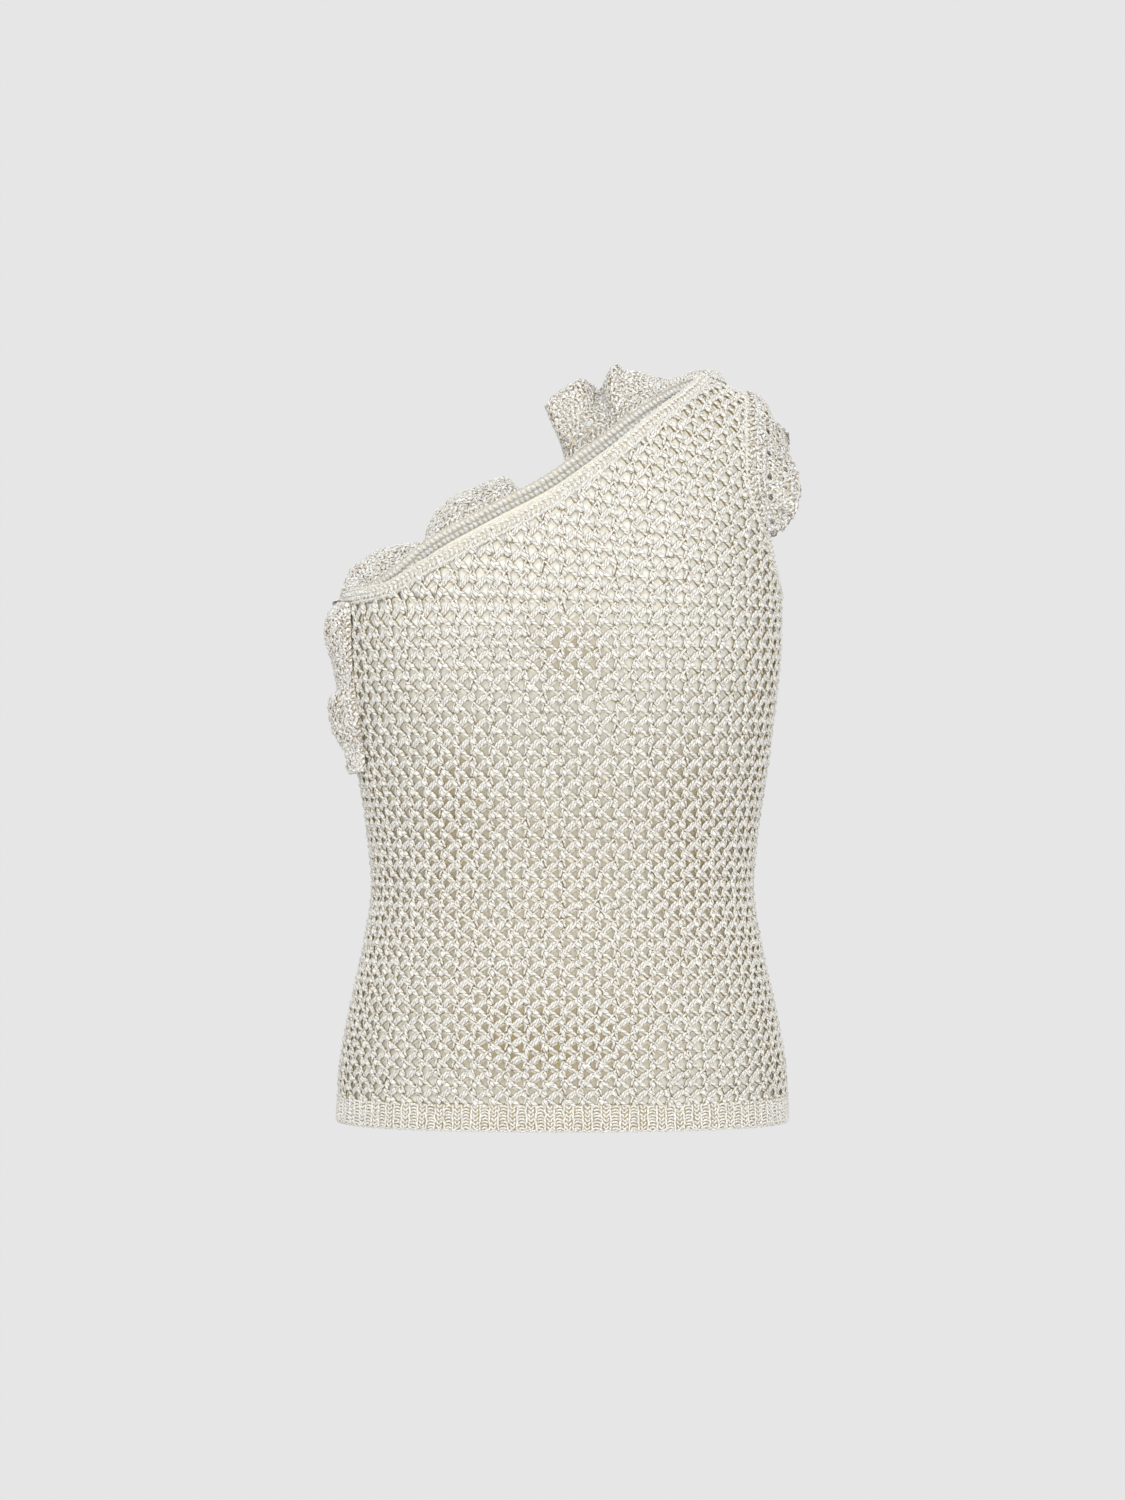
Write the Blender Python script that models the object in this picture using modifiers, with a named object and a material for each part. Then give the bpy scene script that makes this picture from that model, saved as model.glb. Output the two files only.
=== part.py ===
"""One-shoulder crochet top, filled out as if it were worn, with nobody inside.

A knitted eyelet-mesh back and front hang from one shoulder strap over a thin jersey lining.
A crochet band trims the slanting neckline and the one armhole, and a rib closes the hem.
A wide crochet ruffle follows the front neckline, a second one runs down the left side, and a
narrow one caps the shoulder. Every piece is a cloth wall on one shared torso form.

Sizes are in millimetres and become metres where a mesh is made. The origin is the inner
face of the shoulder strap, where the wearer's right shoulder carries the top. +X points to
the wearer's right, +Y to the front and +Z up.
"""
import math
from collections import namedtuple

import bmesh
import bpy
import numpy as np
from mathutils import Vector
from mathutils.geometry import delaunay_2d_cdt

MM = 0.001

# ---- Driving sizes ---------------------------------------------------------------------
BODY_AXIS_X = -122.6            # upright middle line of the body, seen from the strap
LENGTH = 562.0                  # strap down to the hem's lower edge
RIB_HEIGHT = 20.0
SEAM_GAP = 0.3
SEAM_STITCH = 2.0               # short first stretch of a wall beside a seam

KNIT_WALL = 2.4
LINING_WALL = 1.0
BAND_WALL = 3.2
RUFFLE_WALL = 2.2
RIB_WALL = 2.6
RIB_RIDGE = 1.2                 # how far a rib's ridge stands out of the hem
RIB_PITCH = 13.9
RIB_RIDGE_SHARE = 0.34          # parts of the pitch that the ridge and its flanks take
RIB_FLANK = 0.08

NECK_BAND_WIDTH = 11.0
ARM_BAND_WIDTH = 6.5
STRAP_NECK_X = 105.0            # strap's two edges on the shoulder, from the body's middle
STRAP_ARM_X = 145.0
UNDERARM_HEIGHT = -157.0

# ---- Torso form: a general figure, size M ------------------------------------------------
# One row for each height, with sizes measured from the body's middle line.
Section = namedtuple("Section", "height half_width back front")
SECTIONS = (
    Section(-562, 172.5, 111, 105),    # hem, on the hips
    Section(-520, 170.0, 112, 104),
    Section(-485, 164.2, 110, 102),
    Section(-455, 157.5, 105, 99),
    Section(-424, 151.0, 99, 95),
    Section(-382, 145.3, 93, 93),      # waist
    Section(-354, 147.3, 92, 95),
    Section(-324, 151.0, 94, 100),
    Section(-293, 156.0, 96, 108),
    Section(-262, 159.8, 99, 117),
    Section(-235, 163.3, 102, 122),    # bust
    Section(-208, 166.0, 104, 120),
    Section(-180, 167.0, 105, 114),    # yoke: above it the form closes in to the shoulder
)
YOKE_HEIGHT = SECTIONS[-1].height
SECTION_FULLNESS = 2.3          # 2 is an ellipse, more is squarer
SHOULDER_FULLNESS = {"back": 2.4, "front": 2.0}
SHOULDER_SLOPE = -0.39
SHOULDER_ARC = 225.0            # up the cloth from the yoke to the shoulder seam
STRAP_STACK = 2.8               # lining, gap and half the knit, above the wearer's shoulder

# Neckline, from the left underarm to the strap: height of its upper edge on back and front.
Neck = namedtuple("Neck", "across back front")
NECKLINE = (
    Neck(-135, -152, -136),
    Neck(-110, -138, -114),
    Neck(-58, -110.5, -84),
    Neck(-16, -89, -62),
    Neck(28, -57, -32),
    Neck(66, -25, -6),
    Neck(95, -1, 8),
)

# Armhole, from the underarm to the strap: how far out its edge lies, the same on both sides.
Armhole = namedtuple("Armhole", "height across")
ARMHOLE = (
    Armhole(-151, 165.4),
    Armhole(-140, 162.6),
    Armhole(-125, 159.4),
    Armhole(-112, 156.6),
    Armhole(-97, 149.9),
    Armhole(-68, 142.9),
    Armhole(-33, 143.2),
)

# ---- Ruffles: a row for each fold. place and reach are in millimetres, leans in degrees:
# 0 stands up in line with the cloth, 90 straight out of it, 180 folded back down over it.
# The cloth bends evenly from its lean at the root to its lean at the rim. sway moves the rim
# along the ruffle, on towards its end.
Fold = namedtuple("Fold", "place reach root_lean rim_lean sway")
NECK_FOLDS = (
    Fold(0, 10, 164, 178, 0),          # falls forward over the strap
    Fold(20, 28, 128, 172, 0),
    Fold(42, 46, 86, 148, 0),
    Fold(62, 50, 74, 138, 0),
    Fold(78, 50, 62, 122, 0),
    Fold(92, 52, 36, 90, 0),
    Fold(104, 52, 22, 66, -12),        # first of two tall folds by the strap
    Fold(116, 52, 42, 76, 0),
    Fold(128, 54, 10, 48, -10),
    Fold(140, 55, 6, 44, -2),          # second tall fold, leaning out over the neckline
    Fold(150, 52, 4, 40, -2),
    Fold(166, 54, 84, 132, 0),
    Fold(182, 52, 100, 150, 0),        # trough: the neckline shows bare
    Fold(203, 52, 92, 140, 0),
    Fold(212, 52, 50, 102, 0),
    Fold(228, 52, 42, 102, 0),         # middle fold
    Fold(246, 52, 40, 98, 0),
    Fold(262, 52, 44, 106, 0),
    Fold(272, 50, 54, 118, 0),
    Fold(285, 50, 78, 136, 0),
    Fold(299, 50, 60, 122, 0),         # last fold, by the left underarm
    Fold(314, 48, 50, 108, 0),
    Fold(330, 48, 50, 110, 0),
    Fold(346, 44, 64, 126, 0),
    Fold(362, 30, 84, 138, 0),
    Fold(382, 17, 90, 132, 0),
    Fold(402, 8, 90, 110, 0),
)
SIDE_FOLDS = (
    Fold(0, 14, 140, 186, 0),
    Fold(9, 28, 140, 190, 0),
    Fold(28, 38, 150, 194, 0),
    Fold(48, 38, 158, 204, 0),
    Fold(64, 38, 160, 206, 0),
    Fold(72, 40, 146, 196, 0),
    Fold(94, 38, 150, 190, 0),
    Fold(106, 34, 154, 196, 0),
    Fold(112, 24, 150, 190, 0),
    Fold(130, 22, 148, 186, 0),
)
ARM_FOLDS = (
    Fold(0, 10, 30, 50, -4),
    Fold(8, 15, 26, 46, -8),
    Fold(24, 29, 14, 34, -14),
    Fold(42, 41, 6, 22, -8),
    Fold(60, 42, 14, 2, -2),
    Fold(80, 42, 12, -26, 0),
    Fold(100, 40, 12, -34, 0),
    Fold(120, 33, 8, -64, 0),
    Fold(140, 26, 8, -64, 0),
    Fold(160, 33, 8, -64, 0),
    Fold(180, 40, 16, -26, 0),
    Fold(200, 42, 10, -30, 0),
    Fold(220, 42, 18, 12, 2),
    Fold(240, 41, 6, 16, 8),
    Fold(260, 29, 20, 40, 14),
    Fold(276, 15, 26, 46, 8),
    Fold(284, 10, 30, 50, 4),
)
RUFFLE_STEP = 5.0               # one column of crochet posts
NECK_RUFFLE_ROWS = 7
SIDE_RUFFLE_ROWS = 6
ARM_RUFFLE_ROWS = 6
EYELET_EVERY = 4                # columns from one cut eyelet to the next
LOW_EYELETS = (2, 1)            # row from the root, and first column
HIGH_EYELETS = (-2, 3)          # row from the rim, and first column
RIM_LOBE = 1.2                  # scallops of the rim, up and down from its line
RUFFLE_START = 5.0              # first post, past the shoulder seam
RUFFLE_STOP = 16.0              # last post of the neck ruffle, short of the side seam
SIDE_RUFFLE_TOP = -165.0        # heights between which the side ruffle runs
SIDE_RUFFLE_LOW = -293.0
SIDE_RUFFLE_BEHIND = 40.0       # its line, behind the side seam
ARM_RUFFLE_LOW = -112.0         # height where the armhole ruffle starts and ends
LINE_EASE = 4.0                 # rounding of a ruffle's line

# ---- Mesh counts -------------------------------------------------------------------------
NECK_STATIONS = 20              # along a neckline
ARM_STATIONS = 13               # along an armhole
STRAP_STATIONS = 1              # across the shoulder seam
STATION_DRIFT = 1.2             # above 1, stations are closer towards the shoulder
SIDE_ROWS = 16                  # up a side seam
HEM_STATIONS = 22               # along the rib
NET_PITCH = 25.0                # of the net inside a panel's outline
CHART_RADIUS = 150.0            # lays a turn out flat, to work out that net
CURVE_POINTS = 900              # fine points that an edge is measured along
LINE_POINTS = 400               # and a ruffle's line
WALK_STEPS = 12                 # taken from an edge to a line inside it
SEAM_EASE = 30.0                # over which a line inside an edge bends to follow a seam
PANEL_MIDDLE_LIFT = -120.0      # a place well inside both panels

COLOURS = {
    "knit": (0.80, 0.78, 0.71, 1.0),
    "trim": (0.84, 0.83, 0.78, 1.0),
    "lining": (0.82, 0.78, 0.68, 1.0),
}


# ---- Torso form ----------------------------------------------------------------------------
def read_table(keys, values, at):
    """Smooth curve through a table's rows, read at any place, which never overshoots them."""
    keys = np.asarray(keys, float)
    values = np.asarray(values, float)
    steps = np.diff(values) / np.diff(keys)
    before, after = steps[:-1], steps[1:]
    same_way = before * after > 0
    total = np.where(same_way, before + after, 1.0)
    inner_slopes = np.where(same_way, 2 * before * after / total, 0.0)
    slopes = np.concatenate([steps[:1], inner_slopes, steps[-1:]])
    at = np.clip(at, keys[0], keys[-1])
    row = np.clip(np.searchsorted(keys, at) - 1, 0, len(keys) - 2)
    span = keys[row + 1] - keys[row]
    part = (at - keys[row]) / span
    square = part * part
    cube = square * part
    return (
        (2 * cube - 3 * square + 1) * values[row]
        + (cube - 2 * square + part) * span * slopes[row]
        + (3 * square - 2 * cube) * values[row + 1]
        + (cube - square) * span * slopes[row + 1]
    )


def section_size(column, height):
    return read_table([s.height for s in SECTIONS], [getattr(s, column) for s in SECTIONS], height)


def signed_power(value, exponent):
    return np.sign(value) * np.abs(value) ** exponent


def shoulder_height(across):
    return STRAP_STACK + SHOULDER_SLOPE * (across + BODY_AXIS_X)


def torso(side, turn, lift):
    """A point of the knit's middle surface.

    turn goes round the body, from 0 at the right side seam to pi at the left one. lift goes
    up the cloth from the yoke, below 0 under it and SHOULDER_ARC at the shoulder seam.
    """
    height = YOKE_HEIGHT + np.minimum(lift, 0.0)
    curve = np.maximum(lift, 0.0) / SHOULDER_ARC * math.pi / 2
    roundness = 2 / SHOULDER_FULLNESS[side]
    across = section_size("half_width", height) * signed_power(np.cos(turn), 2 / SECTION_FULLNESS)
    depth = section_size(side, height) * signed_power(np.sin(turn), 2 / SECTION_FULLNESS)
    depth = depth * signed_power(np.cos(curve), roundness)
    rise = (shoulder_height(across) - YOKE_HEIGHT) * signed_power(np.sin(curve), roundness)
    facing = 1 if side == "front" else -1
    return np.stack([across + BODY_AXIS_X, facing * depth, height + rise], -1)


def slopes_of(side, turn, lift):
    """How a point moves for a small turn and a small lift."""
    small_turn = 1e-5
    small_lift = 1e-3
    by_turn = torso(side, turn + small_turn, lift) - torso(side, turn - small_turn, lift)
    by_lift = torso(side, turn, lift + small_lift) - torso(side, turn, lift - small_lift)
    return by_turn / (2 * small_turn), by_lift / (2 * small_lift)


def unit(vectors):
    return vectors / np.linalg.norm(vectors, axis=-1, keepdims=True)


def outward(side, turn, lift):
    by_turn, by_lift = slopes_of(side, turn, lift)
    return unit(np.cross(by_turn, by_lift)) * (1 if side == "front" else -1)


def place_of(side, across, height):
    """The turn and lift of a point given by how far across and how high it lies."""
    half_width = section_size("half_width", np.minimum(height, YOKE_HEIGHT))
    turn = np.arccos(signed_power(np.clip(across / half_width, -1, 1), SECTION_FULLNESS / 2))
    share = (height - YOKE_HEIGHT) / (shoulder_height(across) - YOKE_HEIGHT)
    curve = np.arcsin(np.clip(share, 0, 1) ** (SHOULDER_FULLNESS[side] / 2))
    lift = np.where(share > 0, curve / (math.pi / 2) * SHOULDER_ARC, height - YOKE_HEIGHT)
    return turn, lift


# ---- Edges: each is an array of turns and an array of lifts, from seam to seam ---------------
def neckline(side):
    """From the shoulder seam to the left side seam, along the band's upper edge."""
    half_width = section_size("half_width", YOKE_HEIGHT)
    across = [-half_width] + [n.across for n in NECKLINE] + [STRAP_NECK_X]
    height = [UNDERARM_HEIGHT] + [getattr(n, side) for n in NECKLINE]
    height = height + [shoulder_height(STRAP_NECK_X)]
    spread = (1 - np.cos(np.linspace(0, math.pi, CURVE_POINTS))) / 2
    fine_across = STRAP_NECK_X - spread * (STRAP_NECK_X + half_width)
    return place_of(side, fine_across, read_table(across, height, fine_across))


def armhole(side):
    """From the shoulder seam to the right side seam, along the band's outer edge."""
    half_width = section_size("half_width", YOKE_HEIGHT)
    top = shoulder_height(STRAP_ARM_X)
    height = [UNDERARM_HEIGHT] + [a.height for a in ARMHOLE] + [top]
    across = [half_width] + [a.across for a in ARMHOLE] + [STRAP_ARM_X]
    spread = (1 - np.cos(np.linspace(0, math.pi, CURVE_POINTS))) / 2
    fine_height = top - spread * (top - UNDERARM_HEIGHT)
    return place_of(side, read_table(height, across, fine_height), fine_height)


def lengths_along(points):
    steps = np.linalg.norm(np.diff(points, axis=0), axis=1)
    return np.concatenate([[0.0], np.cumsum(steps)])


def inset(side, edge, width):
    """The line that lies width inside an edge. At either end it keeps to the seam."""
    turn, lift = edge[0].copy(), edge[1].copy()
    points = torso(side, turn, lift)
    travelled = lengths_along(points)
    along = unit(np.gradient(points, travelled, axis=0))
    inward = np.cross(outward(side, turn, lift), along)
    to_middle = torso(side, math.pi / 2, PANEL_MIDDLE_LIFT) - points
    inward = inward * np.sign(np.sum(inward * to_middle, axis=1))[:, None]
    to_seam = np.minimum(travelled, travelled[-1] - travelled)
    inward[:, 1] *= np.clip(to_seam / SEAM_EASE, 0, 1)
    inward = unit(inward)
    for _ in range(WALK_STEPS):
        by_turn, by_lift = slopes_of(side, turn, lift)
        tt = np.sum(by_turn * by_turn, axis=1)
        tl = np.sum(by_turn * by_lift, axis=1)
        ll = np.sum(by_lift * by_lift, axis=1)
        want_t = np.sum(by_turn * inward, axis=1)
        want_l = np.sum(by_lift * inward, axis=1)
        det = tt * ll - tl * tl
        turn = turn + (want_t * ll - want_l * tl) / det * width / WALK_STEPS
        lift = lift + (want_l * tt - want_t * tl) / det * width / WALK_STEPS
    return turn, lift


def stations(side, edge, width, count):
    """Points of the line that lies width inside an edge, closer towards the shoulder.

    They lie straight across from the edge's own, with a short stretch beside each seam.
    """
    points = torso(side, *edge)
    travelled = lengths_along(points)
    off_seam = np.abs(points[:, 1])
    near = len(travelled) // 12     # the stretch of an edge that meets a seam lies within it
    first = np.interp(SEAM_GAP / 2, off_seam[:near], travelled[:near])
    last = np.interp(SEAM_GAP / 2, off_seam[::-1][:near], travelled[::-1][:near])
    shares = np.linspace(0, 1, count - 1)[1:-1] ** STATION_DRIFT
    inner = first + (last - first) * shares
    at = np.concatenate([[first, first + SEAM_STITCH], inner, [last - SEAM_STITCH, last]])
    turn, lift = inset(side, edge, width) if width else edge
    return np.array([np.interp(at, travelled, turn), np.interp(at, travelled, lift)])


def seam_turn(side, height, off_seam):
    """The turn at which the cloth lies off_seam before or behind the side seam."""
    return (off_seam / section_size(side, height)) ** (SECTION_FULLNESS / 2)


# ---- Panels ---------------------------------------------------------------------------------
def panel_outline(side):
    """Turns and lifts round a whole back or front, inside its bands and above its rib."""
    neck = stations(side, neckline(side), NECK_BAND_WIDTH + SEAM_GAP, NECK_STATIONS)
    arm = stations(side, armhole(side), ARM_BAND_WIDTH + SEAM_GAP, ARM_STATIONS)
    low = -LENGTH + RIB_HEIGHT + SEAM_GAP - YOKE_HEIGHT

    def side_seam(top_turn, top_lift):
        lifts = np.linspace(low, top_lift, SIDE_ROWS + 1)[:-1]
        from_seam = seam_turn(side, YOKE_HEIGHT + lifts, SEAM_GAP / 2)
        return np.array([from_seam if top_turn < 1 else math.pi - from_seam, lifts])

    right_seam = side_seam(*arm[:, -1])
    left_seam = side_seam(*neck[:, -1])[:, ::-1]
    strap_shares = np.linspace(0, 1, STRAP_STATIONS + 2)[1:-1]
    strap = arm[:, :1] + (neck[:, :1] - arm[:, :1]) * strap_shares
    hem_turns = np.linspace(left_seam[0, -1], right_seam[0, 0], HEM_STATIONS + 1)[1:-1]
    hem = np.array([hem_turns, np.full(hem_turns.shape, low)])
    return np.concatenate([right_seam, arm[:, ::-1], strap, neck, left_seam, hem], axis=1)


def panel_net(side):
    """Turns, lifts and faces of a back or front: its outline, filled with an even net."""
    outline = panel_outline(side)
    flat = np.array([outline[0] * CHART_RADIUS, outline[1]]).T
    following = np.roll(flat, -1, axis=0)
    low, high = flat.min(axis=0), flat.max(axis=0)
    inner = []
    for row, y in enumerate(np.arange(low[1] + NET_PITCH, high[1], NET_PITCH * math.sqrt(0.75))):
        for x in np.arange(low[0] + NET_PITCH * (0.5 + row % 2 / 2), high[0], NET_PITCH):
            spot = np.array([x, y])
            share = np.sum((spot - flat) * (following - flat), axis=1)
            share = np.clip(share / np.sum((following - flat) ** 2, axis=1), 0, 1)
            nearest = np.linalg.norm(flat + (following - flat) * share[:, None] - spot, axis=1).min()
            if nearest > NET_PITCH * 0.45:
                inner.append(spot)
    given = [Vector(p) for p in np.concatenate([flat, inner])]
    outline_face = list(range(len(flat)))
    _, _, faces, origins, _, _ = delaunay_2d_cdt(given, [], [outline_face], 1, 1e-6)
    lifts = [given[came[0]].y for came in origins]
    turns = [given[came[0]].x / CHART_RADIUS for came in origins]
    for i, came in enumerate(origins):
        if came[0] < len(flat):
            turns[i], lifts[i] = outline[:, came[0]]
    return np.array(turns), np.array(lifts), faces


def panel(side):
    turns, lifts, faces = panel_net(side)
    half = KNIT_WALL / 2
    return wall(side + "_panel", side, turns, lifts, faces, -half, half, "knit")


# The lining hangs straighter than the knit, so it stands off it in the small of the back and
# under the bust: depth of that space, its height and how far up and across it spreads.
Hollow = namedtuple("Hollow", "side depth height spread_up spread_across")
HOLLOWS = (
    Hollow("back", 11, -370, 95, 80),
    Hollow("front", 9, -340, 90, 90),
)


def lining(side):
    turns, lifts, faces = panel_net(side)
    surface = torso(side, turns, lifts)
    outer = np.full(turns.shape, -KNIT_WALL / 2 - SEAM_GAP)
    for hollow in HOLLOWS:
        if hollow.side == side:
            up = (surface[..., 2] - hollow.height) / hollow.spread_up
            across = (surface[..., 0] - BODY_AXIS_X) / hollow.spread_across
            outer = outer - hollow.depth * np.exp(-up * up - across * across)
    return wall("lining_" + side, side, turns, lifts, faces, outer - LINING_WALL, outer, "lining")


# ---- Bands -----------------------------------------------------------------------------------
def band(name, side, edge, width, count):
    """A strip between an edge and the panel inside it, from seam to seam."""
    lines = np.array([stations(side, edge, width * share, count) for share in (0, 0.5, 1)])
    turns, lifts = lines[:, 0].ravel(), lines[:, 1].ravel()
    faces = grid_faces(len(lines), lines.shape[2])
    half = BAND_WALL / 2
    return wall(name, side, turns, lifts, faces, -half, half, "trim")


# ---- Hem ---------------------------------------------------------------------------------------
def hem_rib(side):
    """A rib from seam to seam, plain inside, with upright ridges raised outside."""
    low, high = -LENGTH - YOKE_HEIGHT, -LENGTH + RIB_HEIGHT - YOKE_HEIGHT
    fine = np.linspace(0, math.pi, CURVE_POINTS)
    travelled = lengths_along(torso(side, fine, np.full(fine.shape, low)))
    ribs = round(travelled[-1] / RIB_PITCH)
    pitch = travelled[-1] / ribs
    profile = (
        (RIB_FLANK, RIB_RIDGE),
        (RIB_RIDGE_SHARE - RIB_FLANK, RIB_RIDGE),
        (RIB_RIDGE_SHARE, 0.0),
        (1.0, 0.0),
    )
    seam = seam_turn(side, -LENGTH, SEAM_GAP / 2)
    turns, raised = [seam], [0.0]
    for rib in range(ribs):
        for share, height in profile:
            turns.append(float(np.interp((rib + share) * pitch, travelled, fine)))
            raised.append(height)
    turns[-1] = math.pi - seam
    faces = grid_faces(2, len(turns))
    lifts = np.repeat([low, high], len(turns))
    half = RIB_WALL / 2
    outside = half + np.array(raised * 2)
    return wall("hem_rib_" + side, side, np.array(turns * 2), lifts, faces, -half, outside, "trim")


# ---- Ruffles -------------------------------------------------------------------------------------
def smooth(values, travelled, reach):
    """Rounds a line off by averaging it over a short reach."""
    out = np.empty_like(values)
    for i, place in enumerate(travelled):
        width = min(reach, place - travelled[0], travelled[-1] - place) + 1e-6
        weight = np.clip(1 - np.abs(travelled - place) / width, 0, None)
        out[i] = (weight[:, None] * values).sum(0) / weight.sum()
    return out


def ruffle_line(points, away, sign):
    """The line a ruffle is sewn on, with its directions: along, out of the cloth, off it."""
    travelled = lengths_along(points)
    even = np.linspace(0, travelled[-1], LINE_POINTS)
    points = np.stack([np.interp(even, travelled, points[:, i]) for i in range(3)], 1)
    away = np.stack([np.interp(even, travelled, away[:, i]) for i in range(3)], 1)
    points = smooth(points, even, LINE_EASE)
    away = unit(smooth(away, even, LINE_EASE))
    travelled = lengths_along(points)
    along = unit(np.gradient(points, travelled, axis=0))
    off = unit(np.cross(away, along)) * sign
    return travelled, points, along, away, off


def ruffle(name, line, folds, rows):
    travelled, points, along, away, off = line
    columns = int(travelled[-1] // RUFFLE_STEP)
    places = np.linspace(0, travelled[-1], columns + 1)

    def at_places(values):
        return np.stack([np.interp(places, travelled, values[:, i]) for i in range(3)], 1)

    keys = [f.place for f in folds]
    reach = read_table(keys, [f.reach for f in folds], places)
    root = read_table(keys, [f.root_lean for f in folds], places)
    rim = read_table(keys, [f.rim_lean for f in folds], places)
    sway = read_table(keys, [f.sway for f in folds], places)
    reach = reach + RIM_LOBE * (np.arange(columns + 1) % 2 * 2 - 1)
    start, tangent, out, up = at_places(points), at_places(along), at_places(away), at_places(off)
    grid = [start]
    place = start
    for row in range(rows):
        lean = np.radians(root + (rim - root) * (row + 0.5) / rows)
        step = up * np.cos(lean)[:, None] + out * np.sin(lean)[:, None]
        place = place + step * (reach / rows)[:, None]
        share = (row + 1) / rows
        grid.append(place + tangent * (sway * share * share)[:, None])
    eyelets = set()
    for row, first in (LOW_EYELETS, HIGH_EYELETS):
        for column in range(first, columns - 1, EYELET_EVERY):
            eyelets.add((row % rows, column))
    return cloth(name, np.array(grid), RUFFLE_WALL, "trim", eyelets)


def stand_on(carrier_wall):
    """How far a ruffle's middle lies outside the middle of what it is sewn on."""
    return carrier_wall / 2 + SEAM_GAP + RUFFLE_WALL / 2


def neck_ruffle():
    """Sewn along the front neckline's band, from the strap to the left underarm."""
    edge = inset("front", neckline("front"), NECK_BAND_WIDTH / 2)
    points, away = torso("front", *edge), outward("front", *edge)
    travelled = lengths_along(points)
    keep = (travelled > RUFFLE_START) & (travelled < travelled[-1] - RUFFLE_STOP)
    line = ruffle_line(points[keep] + stand_on(BAND_WALL) * away[keep], away[keep], 1)
    return ruffle("neck_ruffle", line, NECK_FOLDS, NECK_RUFFLE_ROWS)


def side_ruffle():
    """Sewn down the left side, a little behind the side seam."""
    heights = np.linspace(SIDE_RUFFLE_TOP, SIDE_RUFFLE_LOW, LINE_POINTS)
    _, lifts = place_of("back", -section_size("half_width", heights), heights)
    turns = math.pi - seam_turn("back", heights, SIDE_RUFFLE_BEHIND)
    points, away = torso("back", turns, lifts), outward("back", turns, lifts)
    line = ruffle_line(points + stand_on(KNIT_WALL) * away, away, 1)
    return ruffle("side_ruffle", line, SIDE_FOLDS, SIDE_RUFFLE_ROWS)


def armhole_ruffle():
    """Sewn to the armhole's band, from low on the back over the shoulder to the front."""
    points, away = [], []
    for side in ("back", "front"):
        edge = inset(side, armhole(side), ARM_BAND_WIDTH / 2)
        line = torso(side, *edge)
        keep = line[:, 2] > ARM_RUFFLE_LOW
        order = slice(None, None, -1) if side == "back" else slice(1, None)
        points.append(line[keep][order])
        away.append(outward(side, edge[0], edge[1])[keep][order])
    points, away = np.concatenate(points), np.concatenate(away)
    line = ruffle_line(points + stand_on(BAND_WALL) * away, away, -1)
    return ruffle("armhole_ruffle", line, ARM_FOLDS, ARM_RUFFLE_ROWS)


# ---- Meshes ----------------------------------------------------------------------------------
def material(kind):
    name = "crochet_" + kind
    found = bpy.data.materials.get(name)
    if found:
        return found
    made = bpy.data.materials.new(name)
    made.use_nodes = True
    shader = made.node_tree.nodes["Principled BSDF"]
    shader.inputs["Base Color"].default_value = COLOURS[kind]
    shader.inputs["Roughness"].default_value = 0.9
    shader.inputs["Metallic"].default_value = 0.0
    return made


def add_object(name, mesh, kind):
    piece = bpy.data.objects.new(name, mesh)
    own = material(kind).copy()
    own.name = name + "_yarn"
    mesh.materials.append(own)
    mesh.shade_smooth()
    collection.objects.link(piece)
    return piece


def cloth(name, grid, wall, kind, left_out=()):
    """An open sheet through a grid of points, given its wall by Solidify."""
    rows, columns = grid.shape[:2]
    shape = bmesh.new()
    points = [[shape.verts.new(p * MM) for p in row] for row in grid]
    for i in range(rows - 1):
        for j in range(columns - 1):
            if (i, j) not in left_out:
                shape.faces.new((points[i][j], points[i][j + 1], points[i + 1][j + 1], points[i + 1][j]))
    bmesh.ops.recalc_face_normals(shape, faces=shape.faces)
    mesh = bpy.data.meshes.new(name)
    shape.to_mesh(mesh)
    shape.free()
    piece = add_object(name, mesh, kind)
    solid = piece.modifiers.new("wall", "SOLIDIFY")
    solid.thickness = wall * MM
    solid.offset = 0
    solid.use_even_offset = False
    return piece


def grid_faces(rows, columns):
    corners = ((0, 0), (0, 1), (1, 1), (1, 0))
    cells = [(i, j) for i in range(rows - 1) for j in range(columns - 1)]
    return [[(i + down) * columns + j + along for down, along in corners] for i, j in cells]


def wall(name, side, turns, lifts, faces, inside, outside, kind):
    """A closed wall on the torso form, between two distances from the knit's middle surface.

    Its rim stands square to the form, so walls that meet at a seam keep their gap, and it is
    lofted between unlike inner and outer faces where it is raised outside.
    """
    middle = torso(side, turns, lifts)
    away = outward(side, turns, lifts)
    shape = bmesh.new()
    layers = []
    for distance in (inside, outside):
        points = middle + away * np.broadcast_to(distance, turns.shape)[:, None]
        layers.append([shape.verts.new(p * MM) for p in points])
        for face in faces:
            shape.faces.new([layers[-1][i] for i in face])
    edges = [(face[i - 1], face[i]) for face in faces for i in range(len(face))]
    paired = set(edges)
    for a, b in edges:
        if (b, a) not in paired:
            shape.faces.new((layers[0][a], layers[0][b], layers[1][b], layers[1][a]))
    bmesh.ops.recalc_face_normals(shape, faces=shape.faces)
    mesh = bpy.data.meshes.new(name)
    shape.to_mesh(mesh)
    shape.free()
    return add_object(name, mesh, kind)


# ---- The top -----------------------------------------------------------------------------------------
for old in list(bpy.data.objects):
    bpy.data.objects.remove(old, do_unlink=True)
collection = bpy.data.collections.new("crochet_top")
bpy.context.scene.collection.children.link(collection)

for side_name in ("back", "front"):
    panel(side_name)
    lining(side_name)
    band("neck_band_" + side_name, side_name, neckline(side_name), NECK_BAND_WIDTH, NECK_STATIONS)
    band("armhole_band_" + side_name, side_name, armhole(side_name), ARM_BAND_WIDTH, ARM_STATIONS)
    hem_rib(side_name)
neck_ruffle()
side_ruffle()
armhole_ruffle()
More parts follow.
